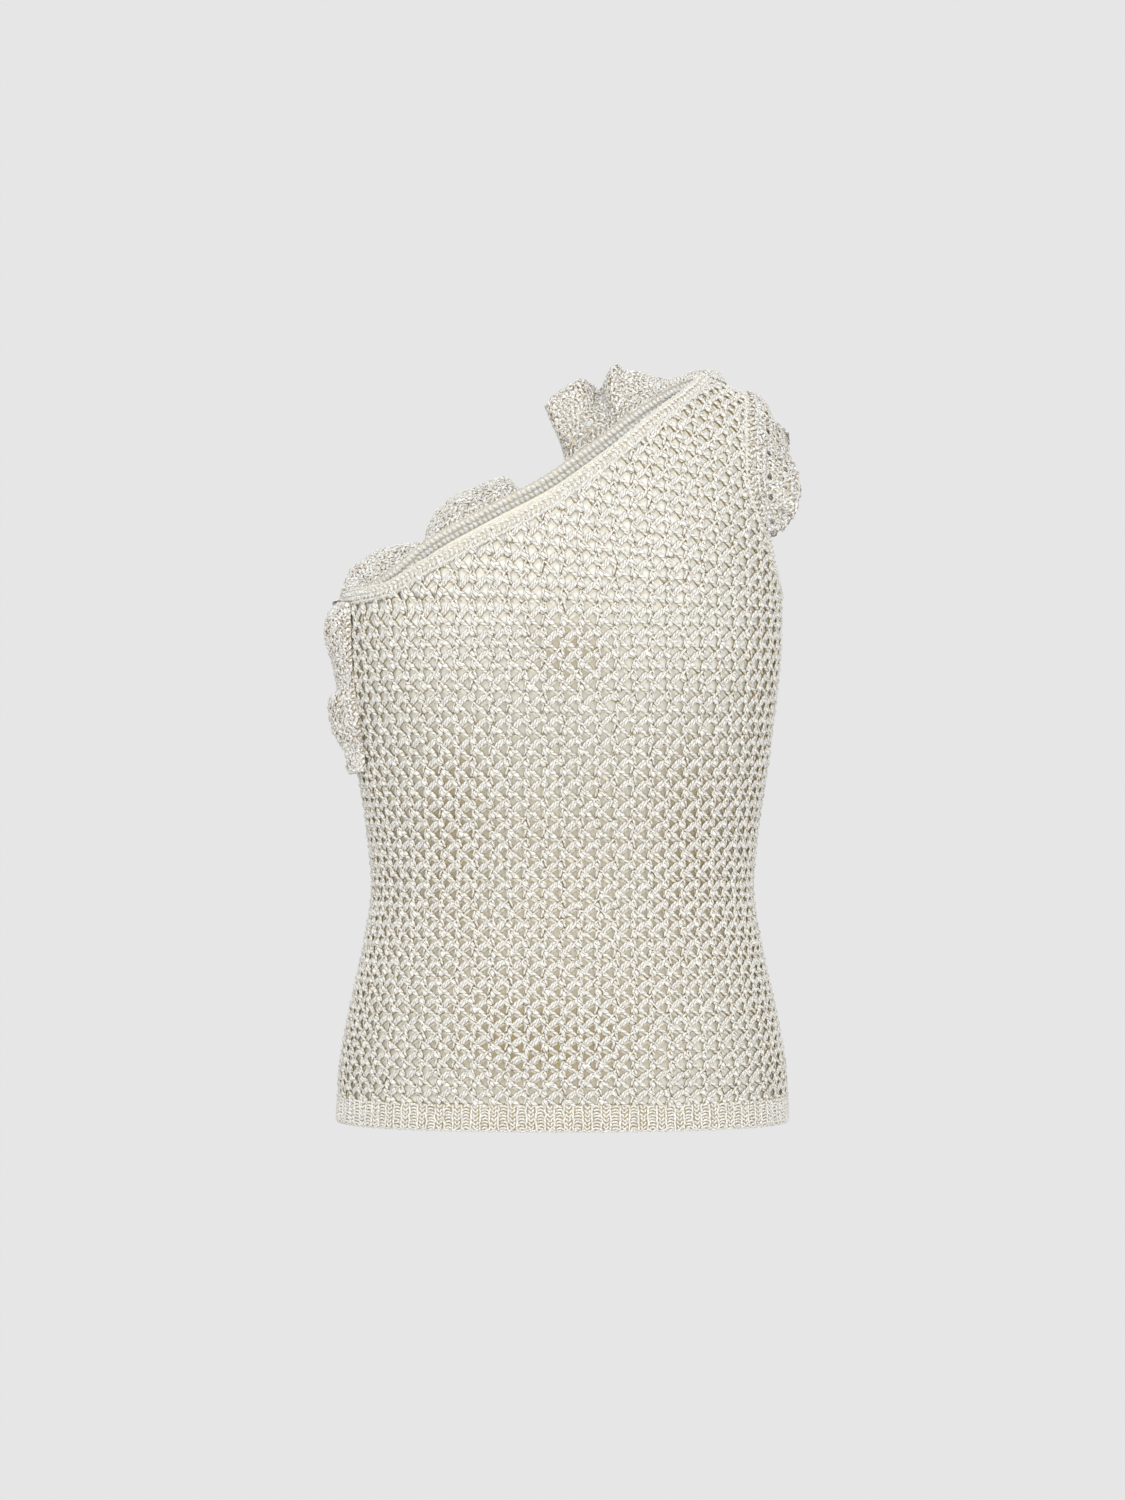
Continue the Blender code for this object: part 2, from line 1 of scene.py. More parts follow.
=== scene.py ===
"""Looks of a one-shoulder crochet top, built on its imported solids.

The pieces follow in the order they are made: the form that the top is filled out to, the jersey
lining, the eyelet-mesh back and front, the bands of the neckline and armhole, the hem rib, the
ruffles, and last the studio. Lengths are in millimetres, and become metres where a mesh is made.
"""

import math
from collections import namedtuple

import bpy
import numpy as np
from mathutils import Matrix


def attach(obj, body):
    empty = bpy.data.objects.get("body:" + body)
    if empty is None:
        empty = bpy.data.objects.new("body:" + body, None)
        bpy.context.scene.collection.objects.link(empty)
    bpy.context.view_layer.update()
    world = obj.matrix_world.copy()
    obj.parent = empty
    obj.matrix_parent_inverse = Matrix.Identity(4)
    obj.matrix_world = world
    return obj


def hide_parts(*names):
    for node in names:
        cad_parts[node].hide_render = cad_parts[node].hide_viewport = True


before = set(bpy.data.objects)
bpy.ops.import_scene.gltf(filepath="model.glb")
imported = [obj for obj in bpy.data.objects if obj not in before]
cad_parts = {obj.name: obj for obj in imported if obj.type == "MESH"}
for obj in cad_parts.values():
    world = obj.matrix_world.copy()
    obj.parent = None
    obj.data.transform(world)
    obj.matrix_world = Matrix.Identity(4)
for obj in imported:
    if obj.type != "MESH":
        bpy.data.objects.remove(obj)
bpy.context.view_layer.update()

# ---- The filled-out form -----------------------------------------------------------------------
# The top keeps the shape of a general size M figure. Everything below is laid on this form by
# a turn round the body and a lift up the cloth, the same way as the solids are. A turn runs
# from 0 at the right side seam to pi at the left one, and a lift is 0 at the height of the yoke.
BODY_AXIS_X = -122.6            # upright middle line of the body, seen from the strap
HEM_HEIGHT = -562.0
RIB_HEIGHT = 20.0
YOKE_HEIGHT = -180.0            # where the upright sides end and the shoulder's curve begins
SHOULDER_ARC = 225.0            # up the cloth from the yoke to the shoulder seam
SECTION_FULLNESS = 2.3          # 2 is an ellipse, more is squarer
SHOULDER_FULLNESS = {"back": 2.4, "front": 2.0}
SHOULDER_SLOPE = -0.39
STRAP_STACK = 2.8               # lining, gap and half the knit, above the wearer's shoulder

Section = namedtuple("Section", "height half_width back front")
SECTIONS = (
    Section(-562, 172.5, 111, 105),
    Section(-520, 170.0, 112, 104),
    Section(-485, 164.2, 110, 102),
    Section(-455, 157.5, 105, 99),
    Section(-424, 151.0, 99, 95),
    Section(-382, 145.3, 93, 93),
    Section(-354, 147.3, 92, 95),
    Section(-324, 151.0, 94, 100),
    Section(-293, 156.0, 96, 108),
    Section(-262, 159.8, 99, 117),
    Section(-235, 163.3, 102, 122),
    Section(-208, 166.0, 104, 120),
    Section(-180, 167.0, 105, 114),
)


def read_table(keys, values, at):
    """Smooth curve through a table's rows, read at any place, which never overshoots them."""
    keys = np.asarray(keys, float)
    values = np.asarray(values, float)
    steps = np.diff(values) / np.diff(keys)
    before, after = steps[:-1], steps[1:]
    same_way = before * after > 0
    total = np.where(same_way, before + after, 1.0)
    inner_slopes = np.where(same_way, 2 * before * after / total, 0.0)
    slopes = np.concatenate([steps[:1], inner_slopes, steps[-1:]])
    at = np.clip(at, keys[0], keys[-1])
    row = np.clip(np.searchsorted(keys, at) - 1, 0, len(keys) - 2)
    span = keys[row + 1] - keys[row]
    part = (at - keys[row]) / span
    square = part * part
    cube = square * part
    return (
        (2 * cube - 3 * square + 1) * values[row]
        + (cube - 2 * square + part) * span * slopes[row]
        + (3 * square - 2 * cube) * values[row + 1]
        + (cube - square) * span * slopes[row + 1]
    )


def section_size(column, height):
    """A half width, or the depth of the back or front, at a height."""
    return read_table([s.height for s in SECTIONS], [getattr(s, column) for s in SECTIONS], height)


def signed_power(value, exponent):
    return np.sign(value) * np.abs(value) ** exponent


def shoulder_height(across):
    return STRAP_STACK + SHOULDER_SLOPE * (across + BODY_AXIS_X)


def torso(side, turn, lift):
    """A point of the knit's middle surface, by its turn from the right seam and its lift."""
    height = YOKE_HEIGHT + np.minimum(lift, 0.0)
    curve = np.maximum(lift, 0.0) / SHOULDER_ARC * math.pi / 2
    roundness = 2 / SHOULDER_FULLNESS[side]
    across = section_size("half_width", height) * signed_power(np.cos(turn), 2 / SECTION_FULLNESS)
    depth = section_size(side, height) * signed_power(np.sin(turn), 2 / SECTION_FULLNESS)
    depth = depth * signed_power(np.cos(curve), roundness)
    rise = (shoulder_height(across) - YOKE_HEIGHT) * signed_power(np.sin(curve), roundness)
    facing = 1 if side == "front" else -1
    return np.stack([across + BODY_AXIS_X, facing * depth, height + rise], -1)


def slopes_of(side, turn, lift):
    """How a point moves for a small turn and a small lift."""
    small_turn = 1e-5
    small_lift = 1e-3
    by_turn = torso(side, turn + small_turn, lift) - torso(side, turn - small_turn, lift)
    by_lift = torso(side, turn, lift + small_lift) - torso(side, turn, lift - small_lift)
    return by_turn / (2 * small_turn), by_lift / (2 * small_lift)


def unit(vectors):
    length = np.linalg.norm(vectors, axis=-1, keepdims=True)
    return vectors / np.maximum(length, 1e-12)


def outward(side, turn, lift):
    by_turn, by_lift = slopes_of(side, turn, lift)
    return unit(np.cross(by_turn, by_lift)) * (1 if side == "front" else -1)


def place_of(side, across, height):
    """The turn and lift of a point given by how far across and how high it lies."""
    half_width = section_size("half_width", np.minimum(height, YOKE_HEIGHT))
    turn = np.arccos(signed_power(np.clip(across / half_width, -1, 1), SECTION_FULLNESS / 2))
    share = (height - YOKE_HEIGHT) / (shoulder_height(across) - YOKE_HEIGHT)
    curve = np.arcsin(np.clip(share, 0, 1) ** (SHOULDER_FULLNESS[side] / 2))
    lift = np.where(share > 0, curve / (math.pi / 2) * SHOULDER_ARC, height - YOKE_HEIGHT)
    return turn, lift


# The neckline slants from the left underarm up to the strap, and the armhole rounds up from
# the right underarm. Both stop on the shoulder seam and on their side seam.
STRAP_NECK_X = 105.0            # the strap's two edges on the shoulder, from the body's middle
STRAP_ARM_X = 145.0
UNDERARM_HEIGHT = -157.0
CURVE_POINTS = 900              # fine points that an edge is measured along
WALK_STEPS = 12                 # taken from an edge to a line inside it
SEAM_EASE = 30.0                # over which a line inside an edge bends to follow a seam
PANEL_MIDDLE_LIFT = -120.0      # a place well inside both panels
Neck = namedtuple("Neck", "across back front")
NECKLINE = (
    Neck(-135, -152, -136),
    Neck(-110, -138, -114),
    Neck(-58, -110.5, -84),
    Neck(-16, -89, -62),
    Neck(28, -57, -32),
    Neck(66, -25, -6),
    Neck(95, -1, 8),
)
Armhole = namedtuple("Armhole", "height across")
ARMHOLE = (
    Armhole(-151, 165.4),
    Armhole(-140, 162.6),
    Armhole(-125, 159.4),
    Armhole(-112, 156.6),
    Armhole(-97, 149.9),
    Armhole(-68, 142.9),
    Armhole(-33, 143.2),
)


def eased_shares():
    """Shares from 0 to 1 that lie closer together at both ends, where an edge turns most."""
    return (1 - np.cos(np.linspace(0, math.pi, CURVE_POINTS))) / 2


def neckline(side):
    """From the shoulder seam to the left side seam, along the band's upper edge."""
    half_width = section_size("half_width", YOKE_HEIGHT)
    across = [-half_width] + [n.across for n in NECKLINE] + [STRAP_NECK_X]
    height = [UNDERARM_HEIGHT] + [getattr(n, side) for n in NECKLINE]
    height = height + [shoulder_height(STRAP_NECK_X)]
    fine_across = STRAP_NECK_X - eased_shares() * (STRAP_NECK_X + half_width)
    return place_of(side, fine_across, read_table(across, height, fine_across))


def armhole(side):
    """From the shoulder seam to the right side seam, along the band's outer edge."""
    half_width = section_size("half_width", YOKE_HEIGHT)
    top = shoulder_height(STRAP_ARM_X)
    height = [UNDERARM_HEIGHT] + [a.height for a in ARMHOLE] + [top]
    across = [half_width] + [a.across for a in ARMHOLE] + [STRAP_ARM_X]
    fine_height = top - eased_shares() * (top - UNDERARM_HEIGHT)
    return place_of(side, read_table(height, across, fine_height), fine_height)


def lengths_along(points):
    """How far along a line each of its points lies."""
    steps = np.linalg.norm(np.diff(points, axis=0), axis=1)
    return np.concatenate([[0.0], np.cumsum(steps)])


def inset(side, edge, width):
    """The line that lies width inside an edge. At either end it keeps to the seam."""
    turn, lift = edge[0].copy(), edge[1].copy()
    points = torso(side, turn, lift)
    travelled = lengths_along(points)
    along = unit(np.gradient(points, travelled, axis=0))
    inward = np.cross(outward(side, turn, lift), along)
    panel_middle = torso(side, math.pi / 2, PANEL_MIDDLE_LIFT)
    inward = inward * np.sign(np.sum(inward * (panel_middle - points), axis=1))[:, None]
    to_seam = np.minimum(travelled, travelled[-1] - travelled)
    inward[:, 1] *= np.clip(to_seam / SEAM_EASE, 0, 1)
    inward = unit(inward)
    for _ in range(WALK_STEPS):
        by_turn, by_lift = slopes_of(side, turn, lift)
        tt = np.sum(by_turn * by_turn, axis=1)
        tl = np.sum(by_turn * by_lift, axis=1)
        ll = np.sum(by_lift * by_lift, axis=1)
        want_t = np.sum(by_turn * inward, axis=1)
        want_l = np.sum(by_lift * inward, axis=1)
        det = tt * ll - tl * tl
        turn = turn + (want_t * ll - want_l * tl) / det * width / WALK_STEPS
        lift = lift + (want_l * tt - want_t * tl) / det * width / WALK_STEPS
    return turn, lift


def panel_limits(side, neck_width, arm_width, lifts):
    """The turns between which a panel lies at each lift, from its right edge to its left."""
    arm_turn, arm_lift = inset(side, armhole(side), arm_width)
    neck_turn, neck_lift = inset(side, neckline(side), neck_width)
    right = np.interp(lifts, arm_lift[::-1], arm_turn[::-1])
    left = np.interp(lifts, neck_lift[::-1], neck_turn[::-1])
    right = np.where(lifts < arm_lift[-1], 0.0, right)
    left = np.where(lifts < neck_lift[-1], math.pi, left)
    return right, left


# ---- Lining ------------------------------------------------------------------------------------
# Cream cotton jersey, cut like the panels and sewn in at the bands and the rib. It shows
# through the eyelets and inside the neckline, and stands off the knit in the small of the back
# and under the bust, where it sags into a few soft creases.
MM = 0.001
NECK_BAND_WIDTH = 11.0
ARM_BAND_WIDTH = 6.5
SEAM_GAP = 0.3
KNIT_WALL = 2.4
LINING_WALL = 1.0
LINING_TUCK = 0.9               # of the neck band's inside that the lining's edge covers
LINING_ROWS = 130
LINING_COLUMNS = 64
RIM_REACH = 0.3                 # of the turn, in from the front's neck edge, that is painted paler as painted light
RIM_SHARE = 0.6                 # of the painted light tone there
CREASE_WIDTH = 5.0
# Where the lining stands off the knit, and where it is painted paler, as painted light, for the
# light that reaches it through the eyelets.
Hollow = namedtuple("Hollow", "side across height spread_across spread_up depth")
HOLLOWS = (
    Hollow("back", 0, -370, 80, 95, 11),
    Hollow("front", 0, -340, 90, 90, 9),
)
# Places where the jersey hangs slack, and how much painted shade, a browner tone, it takes there.
Sag = namedtuple("Sag", "side across height spread_across spread_up depth shade")
SAGS = (
    Sag("back", -82, -335, 36, 80, 3.0, 0.9),
    Sag("back", 97, -345, 34, 85, 3.0, 0.9),
    Sag("back", 6, -205, 30, 30, 2.0, 0.7),
    Sag("back", -10, -492, 80, 40, 2.5, 1.0),
    Sag("back", 0, -440, 150, 90, 0.0, 0.25),
    Sag("front", -75, -350, 34, 70, 3.0, 0.3),
    Sag("front", 72, -340, 34, 70, 3.0, 0.3),
    Sag("front", 10, -480, 70, 30, 2.5, 0.3),
)
# Creases of the slack jersey, in millimetres from the body's middle line.
Crease = namedtuple("Crease", "side across height length slant depth")
LINING_CREASES = (
    Crease("back", -35, -372, 90, 8, 1.6),
    Crease("back", 48, -392, 70, -12, 1.3),
    Crease("back", 10, -338, 60, 15, 1.0),
    Crease("front", -20, -352, 85, -8, 1.5),
    Crease("front", 55, -330, 60, 14, 1.1),
    Crease("front", -70, -318, 50, -18, 0.9),
)


def linear(hex_colour):
    """An sRGB hex colour as the linear one that a shader takes."""
    channels = [int(hex_colour[i:i + 2], 16) / 255 for i in (1, 3, 5)]
    light = [c / 12.92 if c <= 0.04045 else ((c + 0.055) / 1.055) ** 2.4 for c in channels]
    return (*light, 1.0)


def add_node(tree, kind, links=(), **settings):
    """Adds a node. links maps its inputs to other sockets, settings its inputs to values."""
    node = tree.nodes.new(kind)
    for name, value in settings.items():
        if hasattr(node, name):
            setattr(node, name, value)
        else:
            node.inputs[name.replace("_", " ")].default_value = value
    for name, socket in dict(links).items():
        tree.links.new(socket, node.inputs[name])
    return node


def piece_mesh(name, points, faces, attributes=()):
    """A smooth piece from points in millimetres, faces of four corners, and point attributes."""
    mesh = bpy.data.meshes.new(name)
    used, corners = np.unique(np.asarray(faces), return_inverse=True)
    faces = corners.reshape(-1, 4).astype(np.int32)
    points = np.asarray(points)[used]
    mesh.vertices.add(len(points))
    mesh.vertices.foreach_set("co", (points * MM).astype(np.float32).ravel())
    mesh.loops.add(faces.size)
    mesh.loops.foreach_set("vertex_index", faces.ravel())
    mesh.polygons.add(len(faces))
    mesh.polygons.foreach_set("loop_start", np.arange(len(faces), dtype=np.int32) * 4)
    mesh.polygons.foreach_set("use_smooth", np.ones(len(faces), bool))
    for label, values in dict(attributes).items():
        layer = mesh.attributes.new(label, "FLOAT", "POINT")
        layer.data.foreach_set("value", np.asarray(values, np.float32).ravel()[used])
    mesh.update(calc_edges=True)
    mesh.validate()
    piece = bpy.data.objects.new(name, mesh)
    bpy.context.scene.collection.objects.link(piece)
    return piece


def put_on(piece, finish, replaced=None):
    """Gives a piece its finish and its place on the body, instead of the plain one it replaces."""
    piece.data.materials.append(finish)
    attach(piece, "root")
    if replaced:
        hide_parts(replaced)
    return piece


def grid_faces(rows, columns):
    """Faces of a grid of points, as an array with a row of faces for each row of cells."""
    first = np.arange(rows - 1)[:, None] * columns + np.arange(columns - 1)[None, :]
    return np.stack([first, first + 1, first + columns + 1, first + columns], -1)


def cotton_jersey():
    """Combed cotton jersey, knitted fine.

    It looks matt, cream and a little mottled, with faint upright wales. It is painted browner, as
    painted shade, where it hangs slack, and paler, as painted light, where light falls on it.
    Cotton has the default IOR and a roughness of 0.8 to 0.9, and its loose fibre ends give a
    slight sheen.
    """
    made = bpy.data.materials.new("cotton_jersey")
    made.use_nodes = True
    tree = made.node_tree
    tree.nodes.clear()
    place = add_node(tree, "ShaderNodeTexCoord").outputs["Object"]
    wale = 1.6                  # real wales are 0.7 mm, too fine to show
    waves_in_unit = 20          # that Blender's wave texture has at a scale of 1
    wales = add_node(tree, "ShaderNodeTexWave", {"Vector": place},
                     Scale=1 / (wale * MM) / waves_in_unit, Distortion=1.5, Detail=1.0,
                     bands_direction="X")
    mottle = add_node(tree, "ShaderNodeTexNoise", {"Vector": place},
                      Scale=70.0, Detail=3.0)           # patches of about 14 mm
    tone = add_node(tree, "ShaderNodeMix", {"Factor": mottle.outputs["Fac"]}, data_type="RGBA")
    tone.inputs["A"].default_value = linear("#d0cec4")
    tone.inputs["B"].default_value = linear("#d9d8d0")
    # Painted shade: a browner tone where the jersey hangs slack.
    painted_slack_shade = add_node(tree, "ShaderNodeAttribute", attribute_name="painted_slack_shade").outputs["Fac"]
    shaded = add_node(tree, "ShaderNodeMix", {"Factor": painted_slack_shade, "A": tone.outputs["Result"]},
                      data_type="RGBA")
    shaded.inputs["B"].default_value = linear("#b39d70")
    # Painted light: a paler tone where light reaches the jersey through the eyelets and along the
    # front's neck edge.
    lit = add_node(tree, "ShaderNodeAttribute", attribute_name="lit").outputs["Fac"]
    painted_lit_tone = add_node(tree, "ShaderNodeMix", {"Factor": lit, "A": shaded.outputs["Result"]},
                      data_type="RGBA")
    painted_lit_tone.inputs["B"].default_value = linear("#f1e9d3")
    relief = add_node(tree, "ShaderNodeBump", {"Height": wales.outputs["Fac"]},
                      Strength=0.12, Distance=0.0004)
    shader = add_node(tree, "ShaderNodeBsdfPrincipled",
                      {"Base Color": painted_lit_tone.outputs["Result"], "Normal": relief.outputs["Normal"]},
                      Roughness=0.85, Metallic=0.0)
    shader.inputs["Sheen Weight"].default_value = 0.15
    tree.links.new(shader.outputs["BSDF"],
                   add_node(tree, "ShaderNodeOutputMaterial").inputs["Surface"])
    return made


def dent_share(dent, surface):
    """How much of a sag's or hollow's depth there is at each point, from 0 to 1."""
    across = (surface[..., 0] - BODY_AXIS_X - dent.across) / dent.spread_across
    up = (surface[..., 2] - dent.height) / dent.spread_up
    return np.exp(-up * up - across * across)


def lining_depth(side, surface):
    """How far inside the knit's middle surface the lining's own middle hangs."""
    depth = np.full(surface.shape[:-1], KNIT_WALL / 2 + SEAM_GAP + LINING_WALL / 2)
    for dent in SAGS + HOLLOWS:
        if dent.side == side:
            depth = depth + dent.depth * dent_share(dent, surface)
    for crease in LINING_CREASES:
        if crease.side == side:
            across = surface[..., 0] - BODY_AXIS_X - crease.across
            up = surface[..., 2] - crease.height - crease.slant * across / crease.length
            fall = np.exp(-(up / CREASE_WIDTH) ** 2 - (across / crease.length * 2) ** 2)
            depth = depth + crease.depth * fall
    return depth


def lining(side, jersey):
    """One lining panel, with how much painted shade and painted light each of its points takes."""
    low = HEM_HEIGHT + RIB_HEIGHT + SEAM_GAP - YOKE_HEIGHT
    lifts = np.concatenate([
        np.linspace(low, 0, LINING_ROWS // 2, endpoint=False),
        np.linspace(0, SHOULDER_ARC, LINING_ROWS // 2),
    ])
    right, left = panel_limits(side, NECK_BAND_WIDTH - LINING_TUCK, ARM_BAND_WIDTH, lifts)
    shares = np.linspace(0, 1, LINING_COLUMNS)
    turns = right[:, None] + (left - right)[:, None] * shares
    lifts = np.broadcast_to(lifts[:, None], turns.shape)
    surface = torso(side, turns, lifts)
    points = surface - outward(side, turns, lifts) * lining_depth(side, surface)[..., None]
    faces = grid_faces(*turns.shape).reshape(-1, 4)
    # How much painted shade each point takes where the jersey hangs slack, and how much painted
    # light in the hollows.
    painted_slack_shade = sum(sag.shade * dent_share(sag, surface) for sag in SAGS if sag.side == side)
    lit = sum(dent_share(hollow, surface) for hollow in HOLLOWS if hollow.side == side)
    # Painted light along the front's neck edge, where the lining shows inside the neckline.
    if side == "front":
        from_rim = (left[:, None] - turns) / RIM_REACH
        at_rim = RIM_SHARE * np.exp(-from_rim * from_rim)
        lit = lit + np.where(left[:, None] < math.pi, at_rim, 0.0)
    piece = piece_mesh("jersey_lining_" + side, points.reshape(-1, 3), faces,
                       {"painted_slack_shade": painted_slack_shade, "lit": lit})
    put_on(piece, jersey, replaced="lining_" + side)


lining_jersey = cotton_jersey()
for side_name in ("back", "front"):
    lining(side_name, lining_jersey)

# ---- Knitted back and front --------------------------------------------------------------------
# Thick two-ply cotton in an eyelet mesh, knitted to shape and sewn at the sides and shoulder. Each
# stitch is an arrow of two legs over a plump loop head. A loose strand crosses from wale to wale
# under every eyelet, right in one row and left in the next, so that the wales step sideways.
WALES = 16                      # from the middle of a panel to its side seam
WALE_PITCH = 13.4               # in the middle of a panel
WALE_STEP = 0.125               # how far a row moves its wales sideways, in pitches
LEG_LEAN = 0.9                  # how far legs and heads lean towards the row below
HEAD_LEAN = 0.7
LEG_RADIUS = 1.2
HEAD_RADIUS = 2.45
STRAND_RADIUS = 1.3
SPREAD_LIFTS = (-150.0, 20.0)   # over which the yarn flattens and spreads, up to the yoke
SPREAD_SHARES = (1.0, 1.1)
PLY_LAY = 0.74                  # each ply's middle, off the yarn's own, in radii
PLY_TURN = 150.0                # degrees that the plies wind in one stitch
PLY_LENGTH = 3.6                # from ply to ply along a yarn
# A yarn's section from its left edge over its crown to its right edge, in radii. Its back lies
# on the cloth and is left open.
YARN_SECTION = ((-1.0, -0.5), (-0.78, 0.4), (0.0, 0.78), (0.78, 0.4), (1.0, -0.5))
RowPitch = namedtuple("RowPitch", "lift pitch")
ROW_PITCHES = (
    RowPitch(-382, 6.6),
    RowPitch(-307, 6.8),
    RowPitch(-202, 7.5),
    RowPitch(-60, 8.1),
    RowPitch(0, 8.3),
    RowPitch(225, 9.1),
)
STRAP_TURN = 1.1                # where the rows above the yoke are measured
RIB_OVERLAP = 4.5               # of the first row over the rib
LIFT_POINTS = 1500              # fine points that the rows are counted along
NECK_TUCK = 2.5                 # how far the knit runs in under each band
ARM_TUCK = 2.0
SEAM_REACH = 0.02               # of a turn that it runs past the seams
EDGE_POINTS = 600
SPLIT_LIFT = -150.0             # between a panel's two pieces of stitches
# A leg and the loop head between two legs from top to foot, and a strand from its high end to
# its low one: across in pitches, up in rows, out in millimetres, thickness as a share, and how
# deep it tucks in under its neighbours, from 0 to 1, which is painted as shade.
Course = namedtuple("Course", "across up out thick tuck")
LEG = Course((0.0, -0.13, -0.20, -0.19), (0.50, 0.20, -0.10, -0.36),
             (1.0, 1.2, 0.7, -0.4), (0.85, 1.0, 1.0, 0.7), (0.2, 0.0, 0.05, 0.7))
HEAD = Course((0.0, 0.0, 0.0, 0.0, 0.0), (0.36, 0.14, -0.14, -0.38, -0.55),
              (-0.5, 0.5, 0.9, 0.7, -0.5), (0.2, 0.72, 1.0, 0.88, 0.4), (0.9, 0.1, 0.0, 0.1, 0.9))
STRAND = Course((0.0, 0.33, 0.68, 1.0), (0.14, -0.06, -0.40, -0.74),
                (-0.5, 0.75, 0.75, -0.5), (0.8, 1.0, 1.0, 0.85), (0.6, 0.0, 0.0, 0.6))
STRAND_END = 0.08               # of a pitch, inside the wale it starts and ends in
# A leg's two sides, of which the inner one goes in under the loop head, and a head's two
# sides: how deep each lies, painted darker as shade.
LEG_FLANKS = (0.8, 0.05)
HEAD_FLANKS = (0.1, 0.1)
# Strands to the right show both plies turning. Those to the left lie open, ply beside ply.
RIGHT_STRAND = {"lay": 0.7}
LEFT_STRAND = {"lay": 1.15, "turn": 30.0, "start": -15.0}
# Unevenness of hand knitting, in pitches, rows and millimetres, the same in every run.
WALE_SCATTER = 0.018
ROW_SCATTER = 0.05
POINT_SCATTER = 0.02
STAND_SCATTER = 0.12
rng = np.random.default_rng(7)


def knit_rows(side):
    """Row numbers up a panel, from 0 at the rib, and the lifts that they lie at."""
    first_row = HEM_HEIGHT + RIB_HEIGHT - RIB_OVERLAP - YOKE_HEIGHT
    lifts = np.linspace(first_row, SHOULDER_ARC, LIFT_POINTS)
    travelled = lengths_along(torso(side, np.full(lifts.shape, STRAP_TURN), lifts))
    upright = lifts < 0
    above_yoke = travelled - travelled[upright][-1] + lifts[upright][-1]
    steps = np.diff(np.where(upright, lifts, above_yoke))
    pitch = np.interp(lifts, [r.lift for r in ROW_PITCHES], [r.pitch for r in ROW_PITCHES])
    return np.concatenate([[0.0], np.cumsum(steps / pitch[1:])]), lifts


def read_grid(table, row, column):
    """Reads a table of numbers or of points anywhere between its rows and columns."""
    low = np.minimum(row.astype(int), table.shape[0] - 2)
    left = np.minimum(column.astype(int), table.shape[1] - 2)
    up, over = row - low, column - left
    if table.ndim > 2:
        up, over = up[..., None], over[..., None]
    below = table[low, left] * (1 - over) + table[low, left + 1] * over
    above = table[low + 1, left] * (1 - over) + table[low + 1, left + 1] * over
    return below * (1 - up) + above * up


def off_cloth(side, turn, lift, out):
    """Points that stand out of the cloth, and the directions they stand out in."""
    away = outward(side, turn, lift)
    return torso(side, turn, lift) + away * out[..., None], away


class KnitForm:
    """Turns wales and lifts of one panel into places on the form.

    The wales are a pitch apart in the middle of the panel, and closer or wider towards its seams,
    so that as many of them fit at every height.
    """

    def __init__(self, side):
        self.side = side
        self.turns = np.linspace(-SEAM_REACH, math.pi + SEAM_REACH, 500)
        low = HEM_HEIGHT - YOKE_HEIGHT - 8
        self.lifts = np.concatenate([np.linspace(low, 0, 60), np.linspace(5, SHOULDER_ARC, 40)])
        turns, lifts = np.meshgrid(self.turns, self.lifts)
        points = torso(side, turns, lifts)
        steps = np.linalg.norm(np.diff(points, axis=1), axis=2)
        along = np.concatenate([np.zeros((len(self.lifts), 1)), np.cumsum(steps, axis=1)], 1)
        middle = np.array([np.interp(math.pi / 2, self.turns, row) for row in along])
        right = middle - np.array([np.interp(0, self.turns, row) for row in along])
        wales = np.linspace(-WALES - 0.5, WALES + 0.5, 400)
        ease = (np.abs(wales) / WALES) ** 3 * np.sign(wales)
        self.wales = wales
        rows = []
        for row in range(len(self.lifts)):
            reach = wales * WALE_PITCH + (right[row] - WALES * WALE_PITCH) * ease
            rows.append(np.interp(middle[row] - reach, along[row], self.turns))
        self.turn_of = np.array(rows)
        self.row_numbers, self.row_lifts = knit_rows(side)

    def lift(self, row):
        """The lift of a row."""
        return np.interp(row, self.row_numbers, self.row_lifts)

    def turn(self, wale, lift):
        """The turn of a wale, counted from the panel's middle to the wearer's right."""
        row = np.interp(lift, self.lifts, np.arange(len(self.lifts)))
        column = np.interp(wale, self.wales, np.arange(len(self.wales)))
        return read_grid(self.turn_of, row, column)

    def place(self, wale, lift, out):
        """Points and outward directions for wales, lifts and distances out of the cloth."""
        return off_cloth(self.side, self.turn(wale, lift), lift, out)


